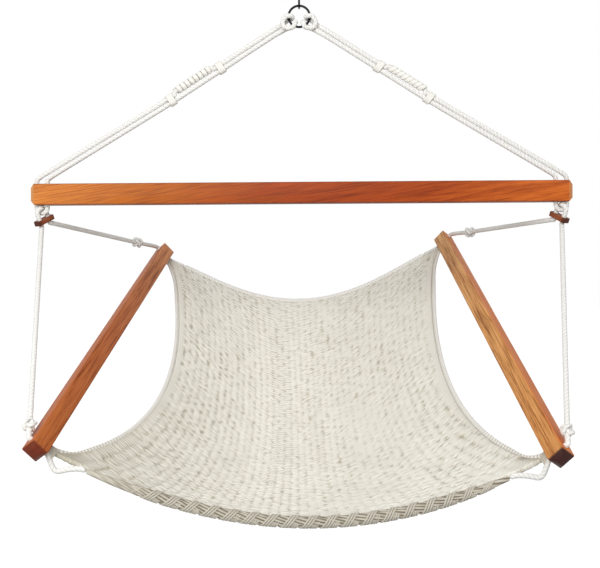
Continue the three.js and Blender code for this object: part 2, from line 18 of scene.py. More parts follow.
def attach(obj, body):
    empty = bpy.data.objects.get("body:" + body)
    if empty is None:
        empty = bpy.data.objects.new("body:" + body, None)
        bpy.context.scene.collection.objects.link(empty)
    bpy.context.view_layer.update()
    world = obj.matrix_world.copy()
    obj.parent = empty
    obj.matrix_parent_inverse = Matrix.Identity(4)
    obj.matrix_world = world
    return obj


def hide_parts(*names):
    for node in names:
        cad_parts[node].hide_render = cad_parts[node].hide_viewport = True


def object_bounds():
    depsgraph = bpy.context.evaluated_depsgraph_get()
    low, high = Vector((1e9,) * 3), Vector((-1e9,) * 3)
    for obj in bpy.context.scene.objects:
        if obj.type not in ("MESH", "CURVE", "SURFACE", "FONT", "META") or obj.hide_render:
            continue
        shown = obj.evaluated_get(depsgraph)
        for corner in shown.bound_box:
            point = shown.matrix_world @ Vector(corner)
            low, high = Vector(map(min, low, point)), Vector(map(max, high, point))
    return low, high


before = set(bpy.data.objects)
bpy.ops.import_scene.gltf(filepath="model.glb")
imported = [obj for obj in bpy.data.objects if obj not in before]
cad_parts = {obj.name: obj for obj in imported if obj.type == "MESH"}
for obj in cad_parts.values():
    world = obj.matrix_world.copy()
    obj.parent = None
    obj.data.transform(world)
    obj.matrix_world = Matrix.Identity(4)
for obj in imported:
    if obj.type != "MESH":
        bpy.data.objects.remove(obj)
cad_low, cad_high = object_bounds()
print("packed box", [round(value, 4) for value in (*cad_low, *cad_high)])

# %% [markdown]
# ## Camera
#
# The photograph was taken from straight in front, about as high as the middle of the
# chair. A camera can be placed by eye or worked out from known lengths. Here the beam's
# length and the end faces of the side bars gave the distance and the lens.

# %% Camera
MM = 0.001

camera_place = Vector((0.050, -2.300, -0.7588))
camera_turn = math.radians(1.272)
camera_roll = math.radians(-0.275)
lens_length = 54.3
film_width = 36

camera_data = bpy.data.cameras.new("camera")
camera_data.sensor_fit = "HORIZONTAL"
camera_data.sensor_width = film_width
camera_data.lens = lens_length
camera = bpy.data.objects.new("camera", camera_data)
level_view = Matrix.Rotation(camera_turn, 4, "Z") @ Matrix.Rotation(math.pi / 2, 4, "X")
rolled_view = level_view @ Matrix.Rotation(camera_roll, 4, "Z")
camera.matrix_world = Matrix.Translation(camera_place) @ rolled_view
bpy.context.scene.collection.objects.link(camera)
bpy.context.scene.camera = camera
bpy.context.scene.view_settings.view_transform = "Standard"
print("camera at", tuple(camera_place), "with a lens of", lens_length, "mm")

# %% [markdown]
# ## Routes of the ropes
#
# A rope is a length of something limp that goes through holes and over loops, so its
# middle line comes first and its surface second. The line is a smooth curve through
# points given at each bend, the same points as in the imported model. The next
# cells hold the sizes that these points are worked out from.

# %% Sizes of the hook, the ring and the ropes
gap = 0.4 * MM
hook_wire = 5 * MM
upper_bow_inside = 20 * MM
lower_bow_inside = 18 * MM
hook_reach = 55 * MM
hook_tip = 9 * MM
ring_outer = 60 * MM
ring_wire = 6 * MM

rope = 12 * MM
hitch_length = 36 * MM
hitch_ease = 34 * MM
bridle_rise = 449 * MM
upper_knot_reach = 240 * MM
lower_knot_reach = 389 * MM
wrap_cord = 5 * MM
wrap_turns = 8
wrap_share = 0.671
wrap_lift = 12.4 * MM
end_gap = 1 * MM
seizing_cord = 4 * MM
seizing_turns = 3
seizing_pitch = 4.8 * MM

rope_radius = rope / 2
strand_half = rope_radius + gap
wrap_pitch = wrap_share * (lower_knot_reach - upper_knot_reach) / wrap_turns
ring_radius = (ring_outer - ring_wire) / 2
ring_z = -hook_reach + ring_wire / 2 + gap - ring_radius

# %% Sizes of the beam, the sliders and the side bars
beam_length = 1372 * MM
beam_height = 53 * MM
beam_hole_inset = 26 * MM
beam_hole_spacing = 27 * MM
slider_thickness = 12 * MM
slider_hole_spacing = 30 * MM
slider_drop = 65 * MM
slider_inset = 4 * MM
slider_shift = 4.5 * MM
slider_yaw = math.radians(60)
slider_tilt = math.radians(25)
loop_drop = 47 * MM
arch_drift = 8 * MM
leg_shares = (0.34, 0.68)

bar_section = 40 * MM
bar_roll = math.radians(52.3)
bar_hole_inset = 28 * MM
front_half_width = 536 * MM
rear_half_width = 423 * MM
front_reach = 471 * MM
rear_reach = 470 * MM
front_drop = 581.5 * MM
rear_drop = 107.5 * MM
front_step = 15 * MM
rear_step = 34 * MM
front_knot_reach = 32 * MM
rear_knot_reach = 100 * MM
knot_length = 26 * MM

beam_z = ring_z - bridle_rise
loop_x = beam_length / 2 - beam_hole_inset
arch_radius = rope + 5 * gap

# %% Sizes of the bed and its edges
corner_reach = 17 * MM
side_pulls = {-1: 102 * MM, 1: 78 * MM}
side_sags = {-1: 130 * MM, 1: 120 * MM}
front_sag = 134 * MM
front_skew_share = 0.05
front_sharpness = 1.1
front_bow = 30 * MM
rear_sag = 136 * MM
rear_sharpness = 1.3
rear_bow = 25 * MM
rim_diameter = 28 * MM
rim_end_diameter = 15 * MM
rim_taper = 190 * MM
rim_start = 74 * MM
bed_thickness = 14 * MM
rear_join = 40 * MM
edge_tie_spacing = 22 * MM
edge_tie_stub = 8 * MM
edge_tie_reach = 60 * MM
border_dip = 24 * MM
border_shares = (1, 0.85, 0.5, 0.12)
border_dip_shares = (0, 0, 0.45, 1)
rear_border_shares = (0.5, 1)
inset_step_share = 0.02
tangent_step_share = 0.01
edge_spans = 12
rim_spans = 32


# %% Points, and a smooth curve through them
curve_steps = 16


def vec(x, y, z):
    return np.array((x, y, z), float)


def unit(vector):
    return vector / np.linalg.norm(vector, axis=-1, keepdims=True)


def smooth(points, steps=curve_steps):
    """A centripetal curve through the points, with so many steps between any two."""
    points = np.asarray(points, float)
    before = 2 * points[0] - points[1]
    after = 2 * points[-1] - points[-2]
    line = np.vstack([before, points, after])
    share = np.arange(steps)[:, None] / steps
    spans = []
    for p0, p1, p2, p3 in zip(line, line[1:], line[2:], line[3:]):
        chords = (p1 - p0, p2 - p1, p3 - p2)
        t0, t1, t2 = (math.sqrt(np.linalg.norm(chord)) for chord in chords)
        leave = ((p1 - p0) / t0 - (p2 - p0) / (t0 + t1)) * t1 + (p2 - p1)
        arrive = ((p3 - p2) / t2 - (p3 - p1) / (t1 + t2)) * t1 + (p2 - p1)
        bend = 3 * (p2 - p1) - 2 * leave - arrive
        turn = 2 * (p1 - p2) + leave + arrive
        spans.append(p1 + leave * share + bend * share**2 + turn * share**3)
    return np.vstack([*spans, points[-1]])


def travelled(path):
    steps = np.linalg.norm(np.diff(path, axis=0), axis=1)
    return np.concatenate([[0], np.cumsum(steps)])


def even(path, step):
    """The same path with its points a step apart."""
    travel = travelled(path)
    stations = np.linspace(0, travel[-1], max(2, round(travel[-1] / step)) + 1)
    return np.column_stack([np.interp(stations, travel, path[:, i]) for i in range(3)])


# %% Route of a bridle rope, from its splice over the ring to the loop under the beam
def bridle_frame(side):
    centre = vec(0, 0, ring_z)
    down = unit(vec(side * loop_x, 0, beam_z + beam_height / 2) - centre)
    lift = vec(-side * down[2], 0, side * down[0])
    return centre, down, lift


def bridle_point(bridle, reach, lift, depth):
    centre, down, raised = bridle
    return centre + down * reach + raised * lift + vec(0, depth, 0)


def hitch_point(bridle, ring_angle, turn_angle):
    turn_radius = (ring_wire + rope) / 2 + 2 * gap
    turn = math.radians(turn_angle)
    radial = ring_radius + turn_radius * math.cos(turn)
    reach = radial * math.cos(math.radians(ring_angle))
    lift = radial * math.sin(math.radians(ring_angle))
    return bridle_point(bridle, reach, lift, turn_radius * math.sin(turn))


# Degrees along the ring, and round its wire.
hitch_angles = (
    (18, 62), (18.5, 90), (20, 120), (23, 150), (25, 180),
    (27, 210), (29, 240), (30, 270), (30.5, 298),
)


def hitch_turn(bridle, sign):
    return [hitch_point(bridle, sign * ring_angle, turn) for ring_angle, turn in hitch_angles]


def hitch_bow(bridle):
    bow_radius = ring_radius / 2
    bow_reach = ring_radius + bow_radius / 2
    points = []
    for degrees in range(60, -61, -30):
        angle = math.radians(degrees)
        reach = bow_reach + bow_radius * math.cos(angle)
        lift = bow_radius * math.sin(angle)
        points.append(bridle_point(bridle, reach, lift, -rope_radius - 2 * gap))
    return points


def hitch_leg(bridle, sign):
    reach = ring_radius + hitch_length / 2
    return [
        bridle_point(bridle, reach + hitch_ease, sign * strand_half, 0),
        bridle_point(bridle, reach + hitch_ease / 2, sign * (strand_half + gap), strand_half / 2),
        bridle_point(bridle, reach, sign * (strand_half + 2 * gap), strand_half + gap),
    ]


wrap_middle = (upper_knot_reach + lower_knot_reach) / 2
wrap_half = wrap_turns * wrap_pitch / 2


def lifted_span(bridle, sign):
    knot = upper_knot_reach if sign < 0 else lower_knot_reach
    wrap_end = wrap_middle + sign * (wrap_half + wrap_cord)
    length = seizing_turns * seizing_pitch
    return [
        bridle_point(bridle, wrap_middle + sign * end_gap / 2, wrap_lift, 0),
        bridle_point(bridle, wrap_end - sign * wrap_cord, wrap_lift, 0),
        bridle_point(bridle, wrap_end, wrap_lift, 0),
        bridle_point(bridle, knot - sign * length, strand_half, 0),
        bridle_point(bridle, knot - sign * length / 2, strand_half, 0),
        bridle_point(bridle, knot + sign * length, strand_half, 0),
    ]


def through_beam(bridle, side, strand):
    x = side * (loop_x + strand * beam_hole_spacing / 2)
    top = beam_z + beam_height / 2
    bend = vec(x, 0, top + rope)
    down = bridle[1]
    return [
        bend - down * 2 * rope,
        bend - down * rope,
        bend - down * rope / 4 - vec(0, 0, rope / 8),
        vec(x, 0, top + rope / 4),
        vec(x, 0, top),
        vec(x, 0, beam_z - beam_height / 2),
    ]


def beam_loop(side):
    radius = beam_hole_spacing / 2
    points = []
    for degrees in range(0, 181, 30):
        angle = math.radians(degrees)
        x = side * (loop_x + radius * math.cos(angle))
        points.append(vec(x, 0, beam_z - loop_drop + radius * (1 - math.sin(angle))))
    return points


def bridle_points(side):
    bridle = bridle_frame(side)
    seizing = seizing_turns * seizing_pitch
    lower_reaches = (
        upper_knot_reach - seizing,
        upper_knot_reach + seizing,
        lower_knot_reach - seizing,
        lower_knot_reach + seizing,
    )
    return [
        *lifted_span(bridle, -1),
        *hitch_leg(bridle, 1),
        *hitch_turn(bridle, 1),
        *hitch_bow(bridle),
        *reversed(hitch_turn(bridle, -1)),
        *reversed(hitch_leg(bridle, -1)),
        *(bridle_point(bridle, reach, -strand_half, 0) for reach in lower_reaches),
        *through_beam(bridle, side, -1),
        *reversed(beam_loop(side)),
        *reversed(through_beam(bridle, side, 1)),
        *reversed(lifted_span(bridle, 1)),
    ]


# %% [markdown]
# ## Routes of the seat ropes and the bed's edges
#
# Each seat rope comes out of the bed's front rim, goes up through the front end of its
# side bar, through a slider, over the bridle's loop and down again to the bar's rear
# end. The bed's four edges are shallow arcs between the bars' holes: gravity pulls them
# down and the weave pulls them in, so a parabola with a sag and a pull is close enough.


# %% Frames of the sliders and the side bars
def slider_frame(side):
    level = math.cos(slider_tilt)
    sideways = -side * math.cos(slider_yaw) * level
    length = vec(sideways, math.sin(slider_yaw) * level, math.sin(slider_tilt))
    width = unit(np.cross(vec(0, 0, 1), length))
    centre = vec(side * (loop_x - slider_inset), slider_shift, beam_z - slider_drop)
    return centre, length, width, np.cross(length, width)


def bar_frame(side):
    near = vec(side * front_half_width, -front_reach, beam_z - front_drop - side * front_step / 2)
    far = vec(side * rear_half_width, rear_reach, beam_z - rear_drop + side * rear_step / 2)
    axis = unit(far - near)
    level = unit(np.cross(axis, vec(0, 0, 1)))
    steep = np.cross(level, axis)
    inner = -side * math.cos(bar_roll) * level - math.sin(bar_roll) * steep
    return near, far, axis, inner


def bar_hole(side, rear):
    near, far, axis, _ = bar_frame(side)
    return far - axis * bar_hole_inset if rear else near + axis * bar_hole_inset


# %% Edges of the bed
def corner(side, rear):
    inner = bar_frame(side)[3]
    return bar_hole(side, rear) + inner * (bar_section / 2 + corner_reach)


def edge(start, end, share, pull, sag, sharpness=1):
    """An arc between two corners: pulled level by pull, and hung by sag."""
    share = np.asarray(share, float)
    hump = 4 * share * (1 - share)
    points = start + (end - start) * share[..., None] + pull * hump[..., None]
    points[..., 2] -= sag * np.sign(hump) * np.abs(hump) ** sharpness
    return points


def side_edge(side, share):
    pull = vec(-side * side_pulls[side], 0, 0)
    return edge(corner(side, True), corner(side, False), share, pull, side_sags[side])


def front_edge(share):
    sag = front_sag * (1 + front_skew_share * (2 * np.asarray(share) - 1))
    bow = vec(0, front_bow, 0)
    return edge(corner(-1, False), corner(1, False), share, bow, sag, front_sharpness)


def rear_edge(share):
    bow = vec(0, -rear_bow, 0)
    return edge(corner(-1, True), corner(1, True), share, bow, rear_sag, rear_sharpness)


rim_share = rim_start / (2 * front_half_width)
taper_share = rim_taper / (2 * front_half_width)
rear_share = rear_join / (2 * rear_half_width)


def rim_diameter_at(share):
    """The rolled rim is thick along its middle and thin at its ends."""
    grown = np.clip((np.minimum(share, 1 - share) - rim_share) / taper_share, 0, 1)
    return rim_end_diameter + (rim_diameter - rim_end_diameter) * np.sin(grown * np.pi / 2)


# %% Route of a seat rope
def leg_points(start, entry, knot_reach):
    direction = unit(entry - start)
    knot = entry - direction * knot_reach
    half = knot_length / 2
    reach = np.linalg.norm(knot - start)
    points = [start, start + direction * rope]
    points += [start + direction * reach * share for share in leg_shares]
    points += [knot - direction * (half + gap), knot - direction * half]
    points += [knot + direction * half, knot + direction * (half + gap)]
    return points, knot, direction


def arch_points(side):
    points = []
    for degrees in range(-90, 91, 30):
        sine = math.sin(math.radians(degrees))
        x = side * (loop_x - arch_drift * sine**3)
        height = arch_radius * math.cos(math.radians(degrees))
        points.append(vec(x, arch_radius * sine, beam_z - loop_drop + height))
    return points


def slider_hole(side, end, height):
    centre, length, _, bore = slider_frame(side)
    return centre + length * end * slider_hole_spacing / 2 + bore * height


def bar_passage(side, rear):
    hole = bar_hole(side, rear)
    inner = bar_frame(side)[3]
    half = bar_section / 2
    heights = (-half - rope_radius, -half, half, half + rope_radius)
    return [hole + inner * height for height in heights]


def seat_leg(side, rear):
    entry = bar_passage(side, rear)[0]
    outlet = slider_hole(side, 1 if rear else -1, -slider_thickness / 2 - rope_radius)
    return leg_points(outlet, entry, rear_knot_reach if rear else front_knot_reach)


def seat_rope_points(side):
    front_reaches = [rim_share * (1 - gap / rim_start) * share for share in border_shares]
    rear_reaches = [rear_share * (1 - gap / rear_join) * share for share in rear_border_shares]
    border = [front_edge(reach if side < 0 else 1 - reach) for reach in front_reaches]
    border = [point - vec(0, 0, border_dip * dip) for point, dip in zip(border, border_dip_shares)]
    rear_border = [rear_edge(reach if side < 0 else 1 - reach) for reach in rear_reaches]
    thick = slider_thickness / 2
    front_holes = [slider_hole(side, -1, height) for height in (-thick, thick, thick + gap)]
    rear_holes = [slider_hole(side, 1, height) for height in (thick + gap, thick, -thick)]
    return [
        *border,
        *reversed(bar_passage(side, False)),
        *reversed(seat_leg(side, False)[0]),
        *front_holes,
        *arch_points(side),
        *rear_holes,
        *seat_leg(side, True)[0],
        *bar_passage(side, True),
        *rear_border,
    ]


# %% Lengths of the ropes
chair_sides = (("left", -1), ("right", 1))
bar_ends = (("front", False), ("rear", True))

for word, side in chair_sides:
    for rope_name, points in (("bridle", bridle_points(side)), ("seat", seat_rope_points(side))):
        print(word, rope_name, "rope", round(travelled(smooth(points))[-1], 3), "m")

# %% [markdown]
# ## Turning a line into a cord
#
# A cord's skin is a ring of points carried along its line. The ring must not spin as it
# goes, so each ring starts from the one before it and is only tilted to the new
# direction. All skins of one piece are gathered as parts and become one mesh. A UV map
# on the faces gives every material the share of the way round the cord and the length
# along it in metres, and a number on each point says how much painted shade it gets,
# mostly from how deep in a groove it lies.


# %% Skins along a line
def transport(path):
    """Two directions across the path at each point, which turn as little as they can."""
    tangents = unit(np.gradient(path, axis=0))
    axis = np.eye(3)[np.argmin(np.abs(tangents[0]))]
    across = []
    current = axis
    for tangent in tangents:
        current = unit(current - tangent * current.dot(tangent))
        across.append(current)
    across = np.array(across)
    return across, np.cross(tangents, across)


def skin(path, rings, painted_shade, directions=None):
    """A closed skin over rings of (across, up) pairs, with each point's painted shade, mostly its
    depth in a groove.
    """
    across, up = directions or transport(path)
    rings = np.broadcast_to(rings, (len(path), *rings.shape[-2:]))
    points = path[:, None] + rings[..., :1] * across[:, None] + rings[..., 1:] * up[:, None]
    count, sides = rings.shape[:2]
    ring, place = np.meshgrid(np.arange(count - 1), np.arange(sides), indexing="ij")
    beside = (place + 1) % sides
    this, after = ring * sides, (ring + 1) * sides
    corners = [this + place, this + beside, after + beside, after + place]
    quads = np.stack(corners, axis=-1).reshape(-1, 4)
    travel = travelled(path)
    around = np.stack([place, place + 1, place + 1, place], axis=-1) / sides
    along = np.stack([travel[ring], travel[ring], travel[ring + 1], travel[ring + 1]], axis=-1)
    quad_uv = np.stack([around, along], axis=-1).reshape(-1, 2)
    last = (count - 1) * sides
    centre = count * sides
    turn = np.arange(sides)
    next_turn = (turn + 1) % sides
    start_cap = np.stack([np.full(sides, centre), next_turn, turn], axis=-1)
    end_cap = np.stack([np.full(sides, centre + 1), last + turn, last + next_turn], axis=-1)
    cap_uv = np.zeros((sides * 6, 2))
    cap_uv[sides * 3:, 1] = travel[-1]
    return {
        "points": np.vstack([points.reshape(-1, 3), path[:1], path[-1:]]),
        "quads": quads,
        "triangles": np.vstack([start_cap, end_cap]),
        "uv": np.vstack([quad_uv, cap_uv]),
        "painted_shade": np.concatenate([np.broadcast_to(painted_shade, (count, sides)).ravel(), [0, 0]]),
    }


# %% Parts into one mesh
def make_mesh(name, parts):
    starts = np.cumsum([0] + [len(part["points"]) for part in parts[:-1]])
    points = np.vstack([part["points"] for part in parts])
    loops = []
    totals = []
    for start, part in zip(starts, parts):
        for faces in (part["quads"], part["triangles"]):
            loops.append((faces + start).ravel())
            totals.append(np.full(len(faces), faces.shape[1]))
    loops = np.concatenate(loops)
    totals = np.concatenate(totals)
    mesh = bpy.data.meshes.new(name)
    mesh.vertices.add(len(points))
    mesh.vertices.foreach_set("co", points.ravel())
    mesh.loops.add(len(loops))
    mesh.loops.foreach_set("vertex_index", loops)
    mesh.polygons.add(len(totals))
    mesh.polygons.foreach_set("loop_start", np.cumsum(totals) - totals)
    mesh.update(calc_edges=True)
    mesh.attributes.new("painted_shade", "FLOAT", "POINT")
    grooves = np.concatenate([part["painted_shade"] for part in parts])
    mesh.attributes["painted_shade"].data.foreach_set("value", grooves)
    layer = mesh.uv_layers.new(name="lay")
    layer.uv.foreach_set("vector", np.vstack([part["uv"] for part in parts]).ravel())
    mesh.shade_smooth()
    return mesh


def place_piece(name, shape, material, body, slot, *nodes):
    """Puts a mesh, or the parts of one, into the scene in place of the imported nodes."""
    mesh = make_mesh(name, shape) if isinstance(shape, list) else shape
    piece = bpy.data.objects.new(name, mesh)
    bpy.context.scene.collection.objects.link(piece)
    mesh.materials.clear()
    mesh.materials.append(material)
    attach(piece, body)
    if nodes:
        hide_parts(*nodes)
    print(name, len(mesh.polygons), "faces, rides on", body)
    return piece


# %% Shapes of a cord's section
least_inset = 0.02


def turn_angles(sides):
    return np.arange(sides) / sides * 2 * np.pi


def round_rings(radius, angle):
    """The (across, up) pairs of points at those distances and angles from the line."""
    return np.stack([radius * np.cos(angle), radius * np.sin(angle)], axis=-1)


def end_rounding(travel, radius):
    """How wide each ring is where both ends are rounded off."""
    inset = np.minimum(travel, travel[-1] - travel) / radius
    return np.sqrt(1 - (1 - np.clip(inset, least_inset, 1)) ** 2)


def round_cord(path, width, sides=12):
    """A smooth cord, of one width or of a width for each point of its path."""
    radius = np.broadcast_to(width, len(path))[:, None] / 2
    scale = end_rounding(travelled(path), radius.min())[:, None] * radius
    return skin(path, round_rings(scale, turn_angles(sides)), np.zeros(1))


def laid_cord(path, diameter, lay, strands=3, strand_share=0.93, per_strand=8):
    """A rope of twisted strands: its lobes wind round the path once in each lay."""
    angle = turn_angles(strands * per_strand)
    sector = 2 * np.pi / strands
    from_lobe = (angle / sector + 0.5) % 1 * sector - sector / 2
    strand = diameter / 2 * strand_share
    centre = diameter / 2 - strand
    radius = centre * np.cos(from_lobe) + np.sqrt(strand**2 - (centre * np.sin(from_lobe)) ** 2)
    # How deep each point lies between the lobes, which the materials paint as shade.
    painted_shade = (diameter / 2 - radius) / (diameter / 2 - radius.min())
    travel = travelled(path)
    turned = angle + travel[:, None] / lay * 2 * np.pi
    scale = end_rounding(travel, diameter / 2)[:, None]
    return skin(path, round_rings(scale * radius, turned), painted_shade)


# %% [markdown]
# ## Materials
#
# Each finish is a Principled shader with a few procedural nodes. One function turns a
# colour as a paint chart gives it into the linear numbers that Blender mixes, and one
# adds a node with its settings and links, so that a material reads from top to bottom.
# An input can be a value, a socket, or a node that stands for its first output.


# %% Colour and node helpers
def linear(colour, alpha=1):
    """The linear colour of an sRGB hex value such as #c8a070."""
    parts = [int(colour[i:i + 2], 16) / 255 for i in (1, 3, 5)]
    light = [part / 12.92 if part <= 0.04045 else ((part + 0.055) / 1.055) ** 2.4 for part in parts]
    return light + [alpha]


def connect(tree, node, **inputs):
    """Fills a node's inputs, which are named by word or, after an underscore, by number."""
    for name, value in inputs.items():
        key = int(name[1:]) if name[1:].isdigit() else name.replace("_", " ")
        if isinstance(value, bpy.types.Node):
            value = value.outputs[0]
        if isinstance(value, bpy.types.NodeSocket):
            tree.links.new(value, node.inputs[key])
        else:
            node.inputs[key].default_value = value


def add(tree, kind, settings=None, stops=(), **inputs):
    """A node of that kind, with its settings made and its inputs filled.

    The stops are the (place, hex) pairs of a colour ramp.
    """
    node = tree.nodes.new(kind)
    for name, value in (settings or {}).items():
        setattr(node, name, value)
    for i, (place, colour) in enumerate(stops):
        elements = node.color_ramp.elements
        element = elements[i] if i < len(elements) else elements.new(1)
        element.position = place
        element.color = linear(colour)
    connect(tree, node, **inputs)
    return node


def new_material(name):
    material = bpy.data.materials.new(name)
    material.use_nodes = True
    tree = material.node_tree
    return material, tree, tree.nodes["Principled BSDF"]


multiply, multiply_add, subtract, absolute, sine, maximum = (
    {"operation": word}
    for word in ("MULTIPLY", "MULTIPLY_ADD", "SUBTRACT", "ABSOLUTE", "SINE", "MAXIMUM")
)

# %% [markdown]
# ### Spun polyester rope
#
# The ropes are soft three-strand rope of spun yarn, made to look like cotton. A spun
# yarn scatters light from its fuzz, so it has almost no shine and a faint sheen. The
# lobes are white, and the grooves between them are painted a warmer grey as shade. The
# yarns in a strand are about 1 mm wide and lean against the rope's own twist, which is a
# fine wave on the cord's own map. The real 1 mm is under half a pixel here, so it is
# drawn at 1.6 mm.
# The rim and the lashings are of the same cord, but so deep in each other's shade that
# light hardly reaches their hollows, and their colours are darker for that.

# %% Material of the ropes
yarn_width = 1.6 * MM
yarn_lean = -1 / (12 * MM)
fuzz_size = 1.5 * MM
rope_patch_size = 40 * MM


# The lobe, middle and hollow colours go from the top of a lobe to the bottom of a groove; the
# darker ones are painted shade.
def spun_rope(name, lobe, middle, hollow, around, depth):
    material, tree, surface = new_material(name)
    lay = add(tree, "ShaderNodeUVMap", {"uv_map": "lay"})
    split = add(tree, "ShaderNodeSeparateXYZ", Vector=lay)
    yarns_around = round(math.pi * around / yarn_width)
    round_part = add(tree, "ShaderNodeMath", multiply, _0=split.outputs["X"], _1=yarns_around)
    yarns = add(
        tree, "ShaderNodeMath", multiply_add, _0=split.outputs["Y"], _1=yarn_lean, _2=round_part,
    )
    turn = add(tree, "ShaderNodeMath", multiply, _0=yarns, _1=2 * math.pi)
    wave = add(tree, "ShaderNodeMath", sine, _0=turn)
    place = add(tree, "ShaderNodeTexCoord").outputs["Object"]
    fuzz = add(tree, "ShaderNodeTexNoise", Vector=place, Scale=1 / fuzz_size, Detail=3.0)
    patches = add(tree, "ShaderNodeTexNoise", Vector=place, Scale=1 / rope_patch_size, Detail=2.0)
    painted_shade = add(tree, "ShaderNodeAttribute", {"attribute_name": "painted_shade"}).outputs["Fac"]
    # Random patches of wear, plus the painted shade in the grooves.
    wear_and_shade = add(tree, "ShaderNodeMath", multiply_add, _0=patches, _1=0.3, _2=painted_shade)
    shifted = add(tree, "ShaderNodeMath", subtract, _0=wear_and_shade, _1=0.15)
    tones = ((0, lobe), (0.5, middle), (1, hollow))
    colour = add(tree, "ShaderNodeValToRGB", stops=tones, Fac=shifted)
    height = add(tree, "ShaderNodeMath", multiply_add, _0=fuzz, _1=1.2, _2=wave)
    bump = add(tree, "ShaderNodeBump", Strength=0.5, Distance=depth, Height=height)
    connect(
        tree, surface,
        Base_Color=colour, Normal=bump, Roughness=0.9, Sheen_Weight=0.15, Sheen_Roughness=0.5,
    )
    print(name, "has", yarns_around, "yarns round it")
    return material


rope_cotton = spun_rope("spun_rope", "#f6f5f2", "#f0eee9", "#e0ddd6", rope, 0.25 * MM)
cord_cotton = spun_rope("spun_cord", "#f1efe9", "#e6e3db", "#c9c4b8", wrap_cord, 0.3 * MM)
rim_cotton = spun_rope("shaded_rim_cord", "#c9c3b4", "#a39b8a", "#6f6555", wrap_cord, 0.3 * MM)

# %% [markdown]
# ## Hook and ring
#
# The hook and the ring are bent from steel wire. A wire is a round tube along its
# bend, with a small rounded tip where it was cut. The ring closes on itself, so its last
# ring of points meets its first.


# %% Hook
bow_points = 13
hook_curve_steps = 6
hook_step = 0.7 * MM


def bow(centre_z, radius, height_sign):
    angles = np.radians(np.linspace(0, 180, bow_points))
    heights = centre_z + height_sign * radius * np.sin(angles)
    return [vec(0, radius * math.cos(angle), height) for angle, height in zip(angles, heights)]


def hook_path():
    upper_radius = (upper_bow_inside + hook_wire) / 2
    lower_radius = (lower_bow_inside + hook_wire) / 2
    upper_z = -upper_bow_inside / 2
    lower_z = -hook_reach + lower_bow_inside / 2
    points = [vec(0, upper_radius, upper_z - hook_tip)]
    points += bow(upper_z, upper_radius, 1)
    points += bow(lower_z, lower_radius, -1)
    points.append(vec(0, -lower_radius, lower_z + hook_tip))
    return even(smooth(points, hook_curve_steps), hook_step)


# %% [markdown]
# ### Polished steel
#
# The steel wire was drawn, polished and oil-blacked, so it has a near-black colour and a
# tight, bright highlight, with faint lines along the wire from drawing. Steel is a metal,
# so it keeps the default IOR. The drawing lines are finer than a pixel, and a coarser
# noise of 4 mm in the roughness stands for them.

# %% Material of the hook and the ring
drawing_size = 4 * MM


def polished_steel():
    material, tree, surface = new_material("polished_steel_wire")
    place = add(tree, "ShaderNodeTexCoord").outputs["Object"]
    noise = add(tree, "ShaderNodeTexNoise", Vector=place, Scale=1 / drawing_size, Detail=4.0)
    tones = ((0.3, "#151517"), (0.7, "#262629"))
    colour = add(tree, "ShaderNodeValToRGB", stops=tones, Fac=noise)
    rough = add(
        tree, "ShaderNodeMapRange",
        Value=noise, From_Min=0.3, From_Max=0.7, To_Min=0.12, To_Max=0.26,
    )
    connect(tree, surface, Base_Color=colour, Roughness=rough, Metallic=1)
    return material


# %% Place the hook and the ring
steel = polished_steel()
hook_skin = round_cord(hook_path(), hook_wire, sides=20)
place_piece("hook_wire", [hook_skin], steel, "hook", "steel", "hanging_hook")


def ring_mesh(turns=96, sides=20):
    mesh = bpy.data.meshes.new("ring_wire")
    work = bmesh.new()
    rings = []
    for i in range(turns):
        angle = i / turns * 2 * math.pi
        ring = []
        for j in range(sides):
            around = j / sides * 2 * math.pi
            radius = ring_radius + ring_wire / 2 * math.cos(around)
            depth = ring_wire / 2 * math.sin(around)
            place = (radius * math.cos(angle), depth, ring_z + radius * math.sin(angle))
            ring.append(work.verts.new(place))
        rings.append(ring)
    for i in range(turns):
        for j in range(sides):
            a, b = rings[i], rings[(i + 1) % turns]
            work.faces.new((a[j], a[(j + 1) % sides], b[(j + 1) % sides], b[j]))
    bmesh.ops.recalc_face_normals(work, faces=work.faces)
    work.to_mesh(mesh)
    work.free()
    mesh.shade_smooth()
    return mesh


place_piece("ring_wire", ring_mesh(), steel, "ring", "steel", "hanging_ring")

# %% [markdown]
# ## Bridle ropes
#
# Each bridle is one rope. Its bight is hitched over the ring, its two strands run down
# side by side, and they are tied together twice. Between the two ties the upper strand is
# spliced and wound with thinner cord. The rope is a lobed skin: three strands twisted
# together show three lobes, which wind round once in each lay of 30 mm.

# %% Bridle ropes
rope_lay = 30 * MM
lay_steps = 24


def place_rope(name, points, body, node):
    laid = laid_cord(even(smooth(points), rope_lay / lay_steps), rope, rope_lay)
    place_piece(name, [laid], rope_cotton, body, "rope", node)


for word, side in chair_sides:
    place_rope(f"{word}_bridle_laid_rope", bridle_points(side), "beam", f"{word}_bridle_rope")

# %% [markdown]
# ### Windings on the bridles
#
# A winding is a cord pulled so tight that it lies flat like a tape. It could be a round
# cord along a helix, but a flattened section shows the wide, close turns of the real one.
# On a tie it goes round both strands, so its path is stretched sideways into an oval.

# %% Windings round the bridle's strands
wrap_tape = 12 * MM
wrap_tape_thickness = 4.4 * MM
wrap_slant = 3 * MM
tie_tape = 7 * MM
tie_pitch = 5.4 * MM
tie_slant = 1.5 * MM
oval_squareness = 4
tape_shade_sharpness = 4
winding_steps = 36


